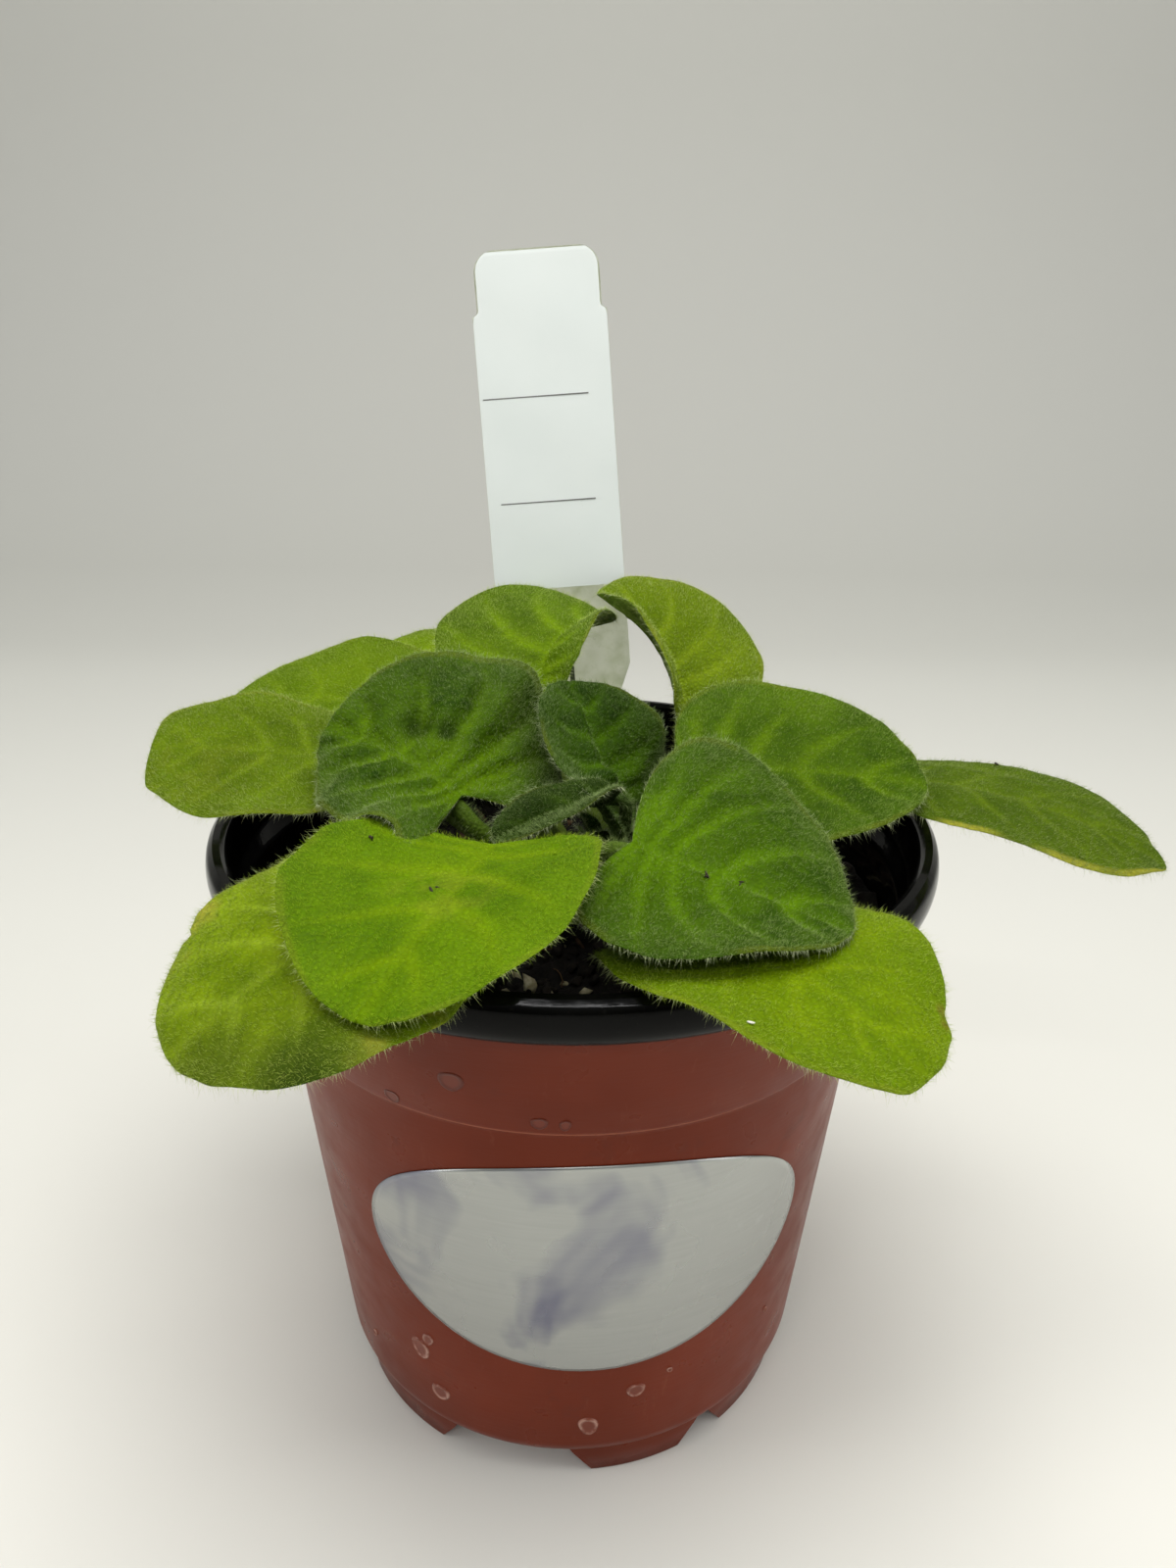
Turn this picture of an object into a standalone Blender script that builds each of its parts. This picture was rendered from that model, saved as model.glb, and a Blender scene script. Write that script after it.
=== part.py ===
"""Potted African violet: rosette of fleshy leaves in a small nursery pot, with a plant tag.

Every length below is in millimetres and every angle in degrees. MM turns them into metres.
The pot's own axis is the working axis; SHIFT moves the whole plant so that the centre of its
plan outline stands on the origin. +Z is up, -Y is the front.
"""
import bpy
import bmesh
import math
import numpy as np
from mathutils import Matrix
from math import sin, cos, pi, radians

MM = 0.001
SHIFT = (-10.24, 5.65)      # pot axis in the model's frame

for ob in list(bpy.data.objects):
    bpy.data.objects.remove(ob, do_unlink=True)

PARTS = bpy.data.collections.new("potted_african_violet")
TOOLS = bpy.data.collections.new("cutters")
bpy.context.scene.collection.children.link(PARTS)
bpy.context.scene.collection.children.link(TOOLS)

# ---------------------------------------------------------------- sizes
POT_SEGMENTS = 60
SOIL_Z = 80.0
# outside of the pot from the middle of its underside up to the lip, then back down the inside
POT_OUTSIDE = [(0, 5.0), (30.0, 5.0), (35.4, 5.4), (37.3, 6.3), (38.0, 7.8), (44.1, 69.8), (44.9, 70.6),
               (49.5, 87.4), (51.6, 88.1), (52.7, 89.6), (53.0, 91.6), (52.7, 93.4), (51.8, 94.4)]
POT_INSIDE = [(50.8, 94.5), (50.0, 93.9), (49.7, 92.4), (49.2, 88.0), (48.3, 86.6), (47.6, 85.6),
              (43.8, 71.0), (43.0, 69.4), (36.9, 9.0), (36.0, 7.0), (34.6, 6.2), (0, 6.0)]
# first and last angle of each foot round the base, from the front (-Y) towards +X
FEET = [(-62, -33), (5, 28), (41, 70), (118, 147), (185, 208), (221, 250)]
FOOT_R = (26.0, 35.6)
DRAIN_R, DRAIN_HOLE_R = 21.0, 3.0

CROWN = (5.0, -8.0)         # stem position
CROWN_PROFILE = [(0, 80.3), (5.4, 80.3), (6.2, 82.5), (6.2, 86.5), (5.5, 89.5), (4.4, 91.2), (0, 91.9)]

# label stake: half widths against height along the stake, from the point upwards
TAG_FOOT = (0.4, 33.0, 80.0)
TAG_TILT, TAG_LEAN = 4.6, 12.0
TAG_THICK = 0.9
TAG_HALF = [(-26, 1.2), (-18, 4.6), (10, 5.2), (25.2, 11.3), (84.2, 11.2)]
TAG_TOP_HALF, TAG_TOP, TAG_CORNER = 10.4, 94.4, 3.4

STICKER = dict(theta=4.0, z=45.0, half_arc=33.4, half_height=19.7, thick=0.4, gap=0.3)

# blade base, heading, pitch, roll, length, half widths (left, right), droop along the blade (curl),
# sideways bend (sweep), twist, rise of the two sides (cup), fold at the midrib, wave of the edge,
# size of the two base lobes, how much wider near the base (ovate); stem = where the stalk starts:
# height on the crown, direction round it, upward slope; r = stalk radius at crown and at blade
LEAVES = {
    "leaf_front_left_upper": dict(base=(-10, -30, 102.5), head=254, pitch=3, roll=6, L=33, W=(16, 20), curl=-26,
        sweep=-12, twist=-5, cup=(12, 22), fold=(0, 0), wave=(0.5, 1.5, 0), lobe=0.14, ovate=0.25, stem=(87.8, 236, 0.4), rise=45),
    "leaf_front_left_lower": dict(base=(-17, -34, 98.6), head=223, pitch=3, roll=-10, L=36, W=(20, 19), curl=-36,
        sweep=-5, twist=14, cup=(-6, -5), fold=(0, 0), wave=(0.6, 2, 40), lobe=0.03, ovate=0.02, stem=(83.6, 224, 0.35)),
    "leaf_left": dict(base=(-26, 1.7, 99), head=175, pitch=12, roll=-1, L=37, W=(17, 15), curl=-12,
        sweep=10, twist=-21, cup=(3, 1), fold=(0, 0), wave=(0.5, 2, 90), lobe=0.08, ovate=-0.02, stem=(83.6, 160, 0.35)),
    "leaf_back_left": dict(base=(-23, 20.5, 101.5), head=161, pitch=6, roll=-11, L=38, W=(12, 19), curl=-16,
        sweep=4, twist=0, cup=(0, 11), fold=(0, 0), wave=(0.5, 2, 10), lobe=0.08, ovate=0.08, stem=(87.8, 140, 0.45)),
    "leaf_back_left_low": dict(base=(-17, 25, 101.5), head=124, pitch=14, roll=-19, L=34, W=(12, 11), curl=-19,
        sweep=-2, twist=-3, cup=(0, 0), fold=(0, 0), wave=(0.4, 2, 70), lobe=0.08, ovate=0.04, stem=(83.6, 118, 0.4)),
    "leaf_back": dict(base=(-6, 15, 106.5), head=84, pitch=53, roll=3, L=25, W=(19, 8), curl=-68,
        sweep=-52, twist=0, cup=(0, 4), fold=(10, 30), wave=(0.6, 1.5, 0), lobe=0.05, ovate=0.12, stem=(87.8, 88, 0.35)),
    "leaf_back_right": dict(base=(18, 20, 102), head=103, pitch=63, roll=0, L=27, W=(5, 16), curl=-45,
        sweep=66, twist=-7, cup=(7, 0), fold=(40, 10), wave=(0.4, 1.5, 0), lobe=0.08, ovate=0.12, stem=(83.6, 62, 0.6)),
    "leaf_centre_left": dict(base=(-15, -16.7, 103.4), head=144, pitch=23, roll=4, L=25, W=(14, 25), curl=-24,
        sweep=4, twist=-44, cup=(0, -4), fold=(0, 0), wave=(0.7, 2.5, 0), lobe=0.14, ovate=0.34, stem=(87.8, 196, 0.6)),
    "leaf_young_upright": dict(base=(7, -8.2, 94.5), head=136, pitch=64, roll=26, L=24, W=(10, 15), curl=-29,
        sweep=-28, twist=-27, cup=(24, -3), fold=(20, 0), wave=(0.5, 1.5, 0), lobe=0.08, ovate=0.14, stem=(92.3, 60, 9.0)),
    "leaf_young_small": dict(base=(5.2, -17.5, 104.4), head=208, pitch=-5, roll=0, L=18, W=(7, 4), curl=-11,
        sweep=1, twist=-20, cup=(8, 5), fold=(30, 30), wave=(0.3, 1.5, 0), lobe=0.05, ovate=0.05, stem=(89.4, 263, 1.2)),
    "leaf_front_right_upper": dict(base=(7, -32, 104), head=339, pitch=-12, roll=17, L=28, W=(23, 18), curl=-2,
        sweep=-4, twist=-23, cup=(5, 9), fold=(0, 0), wave=(0.4, 1.5, 0), lobe=0.16, ovate=0.29, stem=(87.8, 292, 0.5)),
    "leaf_front_right_lower": dict(base=(12, -35, 92.6), head=307, pitch=27, roll=-4, L=38, W=(21, 15), curl=-57,
        sweep=9, twist=1, cup=(0, 0), fold=(0, 0), wave=(0.6, 2, 0), lobe=0.14, ovate=0.15, stem=(83.6, 285, 0.15)),
    "leaf_right": dict(base=(16, -4, 102), head=353, pitch=8, roll=19, L=34, W=(19, 16), curl=-16,
        sweep=-2, twist=-7, cup=(11, -2), fold=(0, 0), wave=(0.5, 1.5, 0), lobe=0.12, ovate=0.20, stem=(87.8, 22, 0.9)),
    "leaf_far_right": dict(base=(42, 2, 98.5), head=342, pitch=9, roll=-6, L=44, W=(14, 13), curl=-35,
        sweep=-4, twist=10, cup=(1, -11), fold=(0, 0), wave=(0.3, 2, 0), lobe=0.08, ovate=-0.05, stem=(83.6, 8, 0.3)),
}
BLADE_THICK = 1.3        # at the midrib; the blade thins out to its edge
STALK_R = (1.6, 1.2)


# ---------------------------------------------------------------- helpers
def new_object(name, mesh, collection=PARTS):
    ob = bpy.data.objects.new(name, mesh)
    collection.objects.link(ob)
    return ob


def mesh_from(name, verts, faces):
    me = bpy.data.meshes.new(name)
    me.from_pydata([((x + SHIFT[0]) * MM, (y + SHIFT[1]) * MM, z * MM) for x, y, z in verts], [], faces)
    me.update()
    return me


def hide(ob):
    ob.hide_render = True
    ob.display_type = "WIRE"


def evaluated(ob):
    bpy.context.view_layer.update()
    dg = bpy.context.evaluated_depsgraph_get()
    return bpy.data.meshes.new_from_object(ob.evaluated_get(dg), depsgraph=dg)


def settle(ob):
    """Turn modifiers or a curve into the plain closed mesh, faces outward."""
    me = evaluated(ob)
    bm = bmesh.new()
    bm.from_mesh(me)
    bmesh.ops.remove_doubles(bm, verts=bm.verts, dist=0.00002)
    bmesh.ops.dissolve_degenerate(bm, edges=bm.edges, dist=0.00001)
    bmesh.ops.triangulate(bm, faces=[f for f in bm.faces if len(f.verts) > 4])
    bmesh.ops.recalc_face_normals(bm, faces=bm.faces)
    bm.to_mesh(me)
    bm.free()
    name, cols = ob.name, list(ob.users_collection)
    bpy.data.objects.remove(ob, do_unlink=True)
    out = bpy.data.objects.new(name, me)
    for c in cols:
        c.objects.link(out)
    return out


def boolean(ob, tool, operation):
    m = ob.modifiers.new(operation.lower(), "BOOLEAN")
    m.operation = operation
    m.solver = "EXACT"
    m.object = tool


def lathe(name, profile, segments, centre=(0.0, 0.0), collection=PARTS):
    """Profile of (radius, height) turned round a vertical axis with the Screw tool."""
    me = bpy.data.meshes.new(name)
    me.from_pydata([(r * MM, 0, z * MM) for r, z in profile], [(i, i + 1) for i in range(len(profile) - 1)], [])
    ob = new_object(name, me, collection)
    m = ob.modifiers.new("turn", "SCREW")
    m.angle = 2 * pi
    m.steps = m.render_steps = segments
    m.use_merge_vertices = True
    m.merge_threshold = 0.00001
    ob = settle(ob)
    ob.data.transform(Matrix.Translation(
        ((centre[0] + SHIFT[0]) * MM, (centre[1] + SHIFT[1]) * MM, 0)))
    return ob


# ---------------------------------------------------------------- leaf blade
def blade_frames(p, n=24):
    """Centre line of the blade and the directions along it, to its left and up from it."""
    s = np.linspace(0, 1, n + 1)
    yaw = np.radians(p["head"] + p["sweep"] * s)
    pit = np.radians(p["pitch"] + p["curl"] * s)
    rol = np.radians(p["roll"] + p["twist"] * s)
    t = np.stack([np.cos(pit) * np.cos(yaw), np.cos(pit) * np.sin(yaw), np.sin(pit)], -1)
    l0 = np.stack([-np.sin(yaw), np.cos(yaw), 0 * yaw], -1)
    n0 = np.cross(t, l0)
    l = np.cos(rol)[:, None] * l0 + np.sin(rol)[:, None] * n0
    up = -np.sin(rol)[:, None] * l0 + np.cos(rol)[:, None] * n0
    c = np.zeros((n + 1, 3))
    c[1:] = np.cumsum((t[1:] + t[:-1]) / 2 * (p["L"] / n), 0)
    return s * p["L"], c + np.array(p["base"], float), t, l, up


def blade_points(p, x, y):
    """Flat blade position (x along, y to the left) to its place in space."""
    st, c, t, l, up = blade_frames(p)
    xs = np.clip(x, 0, p["L"])

    def at(a):
        v = np.stack([np.interp(xs, st, a[:, k]) for k in range(3)], -1)
        return v
    cc, tt, ll, nn = at(c), at(t), at(l), at(up)
    for v in (tt, ll, nn):
        v /= np.linalg.norm(v, axis=-1, keepdims=True)
    cc = cc + tt * (x - xs)[..., None]
    side = np.where(y >= 0, 1.0, -1.0)
    ay = np.abs(y)
    pick = lambda pair: np.where(y >= 0, pair[0], pair[1])
    w = pick(p["W"])
    fold = np.radians(pick(p["fold"]))
    k = np.radians(pick(p["cup"])) / w
    k = np.where(np.abs(k) < 1e-5, 1e-5, k)
    out = (np.sin(fold + k * ay) - np.sin(fold)) / k
    rise = (np.cos(fold) - np.cos(fold + k * ay)) / k
    amount, count, phase = p["wave"]
    rise = rise + amount * (ay / w) ** 2 * np.sin(2 * pi * count * x / p["L"] + radians(phase) * side
                                                  + (side < 0) * 1.3)
    return cc + ll * (side * out)[..., None] + nn * rise[..., None]


def blade_grid(p, rows, half_cols, vein=1.2):
    """Rows follow the side veins from the midrib out to the edge."""
    t = np.linspace(0, 1, rows + 1)
    a = pi * t
    xm = p["L"] * t ** 1.6
    xo = p["L"] / 2 * (1 - np.cos(a)) - p["lobe"] * p["L"] * np.where(a < pi / 2, np.sin(2 * a), 0)
    s = np.linspace(0, 1, half_cols + 1)
    sides = []
    for side, w in ((1, p["W"][0]), (-1, p["W"][1])):
        yo = w * np.sin(a) * (1 + p["ovate"] * np.cos(a))
        sides.append((xm[:, None] + (xo - xm)[:, None] * s[None] ** vein, side * yo[:, None] * s[None]))
    x = np.concatenate([sides[1][0][:, ::-1], sides[0][0][:, 1:]], 1)
    y = np.concatenate([sides[1][1][:, ::-1], sides[0][1][:, 1:]], 1)
    return blade_points(p, x, y)


def leaf(name, p, rows=11, half_cols=4):
    g = blade_grid(p, rows, half_cols)
    cols = g.shape[1]
    across = np.gradient(g, axis=1)
    along = np.gradient(g, axis=0)
    n = np.cross(along, across)
    n /= np.linalg.norm(n, axis=-1, keepdims=True) + 1e-12
    s = np.abs(np.linspace(-1, 1, cols))
    t = np.linspace(0, 1, rows + 1)
    thick = BLADE_THICK * np.sqrt(1 - s ** 2)[None] * np.minimum(1, 0.35 + 4 * np.minimum(t, 1 - t))[:, None]
    verts, upper, lower = [], {}, {}
    for i in range(1, rows):
        for j in range(cols):
            half = n[i, j] * thick[i, j] / 2
            upper[i, j] = lower[i, j] = len(verts)
            verts.append(tuple(g[i, j] + half))
            if 0 < j < cols - 1:
                lower[i, j] = len(verts)
                verts.append(tuple(g[i, j] - half))
    first, last = len(verts), len(verts) + 1
    verts += [tuple(g[0, 0]), tuple(g[-1, 0])]
    faces = []
    for side, flip in ((upper, False), (lower, True)):
        for j in range(cols - 1):
            new = [(first, side[1, j], side[1, j + 1]), (side[rows - 1, j], last, side[rows - 1, j + 1])]
            for i in range(1, rows - 1):
                new.append((side[i, j], side[i + 1, j], side[i + 1, j + 1], side[i, j + 1]))
            faces += [f[::-1] if flip else f for f in new]
    ob = settle(new_object(name, mesh_from(name, verts, faces)))

    # stalk: a bevelled curve from the crown to just under the midrib
    z0, direction, slope = p["stem"]
    scale = 0.65 if name.startswith("leaf_young") else 1.0
    dvec = np.array([cos(radians(direction)), sin(radians(direction)), 0.0])
    if slope > 5:                                     # stands on top of the crown
        start = np.array([CROWN[0], CROWN[1], z0]) + dvec * 1.7
        t0 = np.array([0.0, 0.0, 1.0])
    else:
        r = np.interp(z0, [q[1] for q in CROWN_PROFILE[1:]], [q[0] for q in CROWN_PROFILE[1:]])
        lean = slope / math.hypot(1.0, slope)          # a sloping stalk's end leans back over the crown
        start = np.array([CROWN[0], CROWN[1], z0]) + dvec * (r + 0.35 + scale * STALK_R[0] * lean)
        t0 = dvec + np.array([0, 0, slope])
        t0 /= np.linalg.norm(t0)
    st, c, t, l, up = blade_frames(p)
    base = np.array(p["base"], float) - up[0] * 0.5
    reach = np.linalg.norm(base - start)
    under = [np.array([np.interp(d, st, c[:, k]) for k in range(3)]) - up[0] * 0.45 for d in (p["L"] * 0.18,)]
    cu = bpy.data.curves.new(name + "_stalk", "CURVE")
    cu.dimensions = "3D"
    cu.bevel_depth = MM
    cu.bevel_resolution = 2
    cu.resolution_u = 7
    cu.use_fill_caps = True
    sp = cu.splines.new("BEZIER")
    pts = [start, base] + under
    sp.bezier_points.add(len(pts) - 1)
    arrive = t[0] + up[0] * math.tan(radians(p.get("rise", 14)))      # the stalk comes from below the blade
    tang = [t0, arrive / np.linalg.norm(arrive), t[0]]
    hand = [reach * 0.36, reach * 0.36, p["L"] * 0.06]
    for k, (q, tg, h) in enumerate(zip(pts, tang, hand)):
        b = sp.bezier_points[k]
        sh = lambda v: ((v[0] + SHIFT[0]) * MM, (v[1] + SHIFT[1]) * MM, v[2] * MM)
        b.handle_left_type = b.handle_right_type = "FREE"
        b.co = sh(q)
        b.handle_left = sh(q - tg * (h if k != 2 else p["L"] * 0.06))
        b.handle_right = sh(q + tg * (h if k == 0 else p["L"] * 0.06))
        b.radius = scale * (STALK_R[0], STALK_R[1], 0.75)[k]
    stalk = settle(new_object(name + "_stalk", cu, TOOLS))
    hide(stalk)
    boolean(ob, stalk, "UNION")
    return settle(ob)


# ---------------------------------------------------------------- pot
def arc_block(name, a0, a1, r0, r1, z0, z1, flare=5.0, collection=TOOLS):
    """Foot: a block between two angles, wider at its top than on the ground."""
    n = 4
    rings = []
    for (z, grow, ra, rb) in ((z0, 0.0, r0 + 0.8, r1), (z1, flare, r0, r1 + 0.9)):
        for r in (ra, rb):
            rings.append([(r * sin(radians(a)), -r * cos(radians(a)), z)
                          for a in np.linspace(a0 - grow, a1 + grow, n + 1)])
    verts = [v for ring in rings for v in ring]
    m = n + 1
    q = lambda k, i: k * m + i
    faces = []
    for i in range(n):
        faces += [(q(0, i), q(0, i + 1), q(1, i + 1), q(1, i)), (q(2, i), q(3, i), q(3, i + 1), q(2, i + 1)),
                  (q(1, i), q(1, i + 1), q(3, i + 1), q(3, i)), (q(0, i), q(2, i), q(2, i + 1), q(0, i + 1))]
    for i in (0, n):
        faces.append((q(0, i), q(1, i), q(3, i), q(2, i)))
    return settle(new_object(name, mesh_from(name, verts, faces), collection))


def make_pot():
    pot = lathe("pot", POT_OUTSIDE + POT_INSIDE, POT_SEGMENTS)
    for k, (a0, a1) in enumerate(FEET):
        foot = arc_block("foot_tool_%d" % k, a0, a1, FOOT_R[0], FOOT_R[1], 0.0, 5.6)
        hide(foot)
        boolean(pot, foot, "UNION")
    for k in range(5):
        a = 2 * pi * k / 5 + 0.3
        hole = lathe("drain_tool_%d" % k, [(0, 3), (DRAIN_HOLE_R, 3), (DRAIN_HOLE_R, 8), (0, 8)], 12,
                     (DRAIN_R * cos(a), DRAIN_R * sin(a)), TOOLS)
        hide(hole)
        boolean(pot, hole, "DIFFERENCE")
    return settle(pot)


# ---------------------------------------------------------------- tag, sticker, mix, crown
def tag_outline():
    half = list(TAG_HALF)
    right = [(w, h) for h, w in half]
    top = [(TAG_TOP_HALF, TAG_HALF[-1][0] + 0.2)]
    for k in range(0, 5):
        a = radians(90 * k / 4)
        top.append((TAG_TOP_HALF - TAG_CORNER * (1 - cos(a)), TAG_TOP - TAG_CORNER * (1 - sin(a))))
    right += top
    left = [(-x, h) for x, h in reversed(right)]
    return right + left


def tag_place(x, y, h):
    """Tag's own (across, through, along) to its tilted place."""
    b, a = radians(TAG_TILT), radians(TAG_LEAN)
    x, h = x * cos(b) - h * sin(b), x * sin(b) + h * cos(b)
    y, h = y * cos(a) + h * sin(a), -y * sin(a) + h * cos(a)
    return (x + TAG_FOOT[0], y + TAG_FOOT[1], h + TAG_FOOT[2])


def tag_solid(name, grow, collection):
    out = tag_outline()
    if grow:
        out = [(x + math.copysign(grow, x), h + (grow if h > 50 else (-grow if h < -20 else 0))) for x, h in out]
    t = TAG_THICK / 2 + grow
    n = len(out)
    verts = [tag_place(x, -t, h) for x, h in out] + [tag_place(x, t, h) for x, h in out]
    faces = [tuple(range(n)), tuple(range(2 * n - 1, n - 1, -1))]
    faces += [(i, i + n, (i + 1) % n + n, (i + 1) % n) for i in range(n)]
    return settle(new_object(name, mesh_from(name, verts, faces), collection))


def make_sticker():
    """Oval patch that follows the pot's cone."""
    r0, z0, r1, z1 = 38.0, 7.8, 44.1, 69.8
    s = STICKER
    n_u, n_v = 16, 8
    us = np.linspace(-1, 1, n_u + 1)
    verts, rows = [], []
    for u in us:
        half = math.sqrt(max(0.0, 1 - u * u))
        rows.append([])
        for v in np.linspace(-1, 1, n_v + 1):
            z = s["z"] + s["half_height"] * v * half
            r = r0 + (r1 - r0) * (z - z0) / (z1 - z0) + s["gap"] + s["thick"] / 2
            a = radians(s["theta"]) + u * s["half_arc"] / 41.7
            verts.append((r * sin(a), -r * cos(a), z))
            rows[-1].append(len(verts) - 1)
    faces = [(rows[i][j], rows[i + 1][j], rows[i + 1][j + 1], rows[i][j + 1])
             for i in range(n_u) for j in range(n_v)]
    me = mesh_from("pot_sticker", verts, faces)
    ob = settle(new_object("pot_sticker", me))
    m = ob.modifiers.new("thickness", "SOLIDIFY")
    m.thickness = s["thick"] * MM
    m.offset = 0.0
    return settle(ob)


def make_mix():
    """Potting mix: fills the pot, with a low crumbly surface."""
    seg = 40
    wall = [(0, 6.4), (34.2, 6.6), (36.4, 9.4), (42.4, 69.4), (43.2, 71.2)]
    edge_r = 45.0
    verts = [(0, 0, 6.4)]
    rings = []
    for r, z in wall[1:]:
        rings.append([(r * cos(2 * pi * k / seg), r * sin(2 * pi * k / seg), z) for k in range(seg)])

    def top(x, y):
        d = math.hypot(x - CROWN[0], y - CROWN[1])
        soft = min(1.0, max(0.0, (d - 9.0) / 6.0))
        bump = 0.9 * sin(x * 0.31 + 1.0) * cos(y * 0.27) + 0.6 * sin(x * 0.55 - y * 0.47) + 0.4 * cos(y * 0.9 + x * 0.2)
        return SOIL_Z + soft * bump
    for r in (edge_r, 39.0, 32.0, 25.0, 18.0, 12.5, 7.0):
        rings.append([(r * cos(2 * pi * k / seg), r * sin(2 * pi * k / seg),
                       top(r * cos(2 * pi * k / seg), r * sin(2 * pi * k / seg)) - (0.8 if r == edge_r else 0.0))
                      for k in range(seg)])
    for ring in rings:
        verts += ring
    verts.append((0, 0, top(0, 0)))
    faces = []
    for k in range(seg):
        k2 = (k + 1) % seg
        faces.append((0, 1 + k2, 1 + k))
        for i in range(len(rings) - 1):
            faces.append((1 + i * seg + k, 1 + i * seg + k2, 1 + (i + 1) * seg + k2, 1 + (i + 1) * seg + k))
        last = 1 + (len(rings) - 1) * seg
        faces.append((last + k, last + k2, len(verts) - 1))
    ob = settle(new_object("potting_mix", mesh_from("potting_mix", verts, faces)))
    slot = tag_solid("tag_slot_tool", 0.3, TOOLS)
    hide(slot)
    boolean(ob, slot, "DIFFERENCE")
    return settle(ob)


make_pot()
make_mix()
lathe("crown_stem", CROWN_PROFILE, 20, CROWN)
tag_solid("plant_tag", 0.0, PARTS)
make_sticker()
for leaf_name, spec in LEAVES.items():
    leaf(leaf_name, spec)
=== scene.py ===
"""Looks of the potted African violet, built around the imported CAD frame.

Lengths in the tables are millimetres in the pot's own axes, angles are degrees, and put() turns them
into the frame's metres. Hair, crumbs and veins are all drawn from seeded generators.
"""
import math
from math import sin, cos, pi, radians

import bpy
import bmesh
import numpy as np
from mathutils import Matrix, Vector


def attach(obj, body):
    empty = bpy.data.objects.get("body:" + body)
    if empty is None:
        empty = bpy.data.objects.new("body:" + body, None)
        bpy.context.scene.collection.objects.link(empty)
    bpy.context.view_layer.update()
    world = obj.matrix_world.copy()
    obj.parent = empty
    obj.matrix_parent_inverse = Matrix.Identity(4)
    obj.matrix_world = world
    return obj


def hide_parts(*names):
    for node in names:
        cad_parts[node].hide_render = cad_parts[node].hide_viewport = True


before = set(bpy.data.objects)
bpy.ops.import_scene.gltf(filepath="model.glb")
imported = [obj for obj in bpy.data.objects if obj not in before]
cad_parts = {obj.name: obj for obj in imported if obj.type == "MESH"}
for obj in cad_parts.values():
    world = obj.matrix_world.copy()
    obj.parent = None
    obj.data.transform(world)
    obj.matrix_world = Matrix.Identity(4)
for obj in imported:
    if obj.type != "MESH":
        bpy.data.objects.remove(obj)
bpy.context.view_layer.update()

MM = 0.001
SHIFT = np.array([-10.24, 5.65, 0.0])         # pot axis in the frame


def put(points):
    return (np.asarray(points, float) + SHIFT) * MM


def smooth(a, b, x):
    t = np.clip((x - a) / (b - a), 0, 1)
    return t * t * (3 - 2 * t)


def bell(x, centre, width):
    return np.exp(-((x - centre) / width) ** 2)


def unit(v):
    return v / (np.linalg.norm(v, axis=-1, keepdims=True) + 1e-12)


def ring_angles(n):
    return 2 * pi * np.arange(n) / n


# ------------------------------------------------------------------ noise
def _hash(ix, iy, iz, seed):
    h = (ix * 374761393 + iy * 668265263 + iz * 1442695041 + seed * 974634777) & 0xffffffff
    h = ((h ^ (h >> 13)) * 1274126177) & 0xffffffff
    h = ((h ^ (h >> 16)) * 2246822519) & 0xffffffff
    return (h ^ (h >> 15)) / 4294967295.0 * 2 - 1


def noise(p, size, seed=0, octaves=1):
    """Smooth value noise of about -1 to 1 with features of the given size."""
    p = np.asarray(p, float)
    if p.shape[-1] == 2:
        p = np.concatenate([p, np.zeros(p.shape[:-1] + (1,))], -1)
    total, amp, norm = 0.0, 1.0, 0.0
    for o in range(octaves):
        q = p / size * 2 ** o + 17.3 * (seed + 1) + o * 5.1
        i = np.floor(q).astype(np.int64)
        f = q - i
        f = f * f * (3 - 2 * f)
        v = 0.0
        for corner in np.ndindex(2, 2, 2):
            w = np.prod(np.where(np.array(corner) > 0, f, 1 - f), -1)
            v = v + w * _hash(*(i[..., k] + corner[k] for k in range(3)), seed + o)
        total = total + v * amp
        norm += amp
        amp *= 0.5
    return total / norm * 1.6


# ------------------------------------------------------------------ materials
def srgb(r, g, b):
    """0-255 screen colour to linear RGBA."""
    return (*(c / 12.92 if c <= 0.04045 else ((c + 0.055) / 1.055) ** 2.4 for c in (r / 255, g / 255, b / 255)), 1.0)


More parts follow.
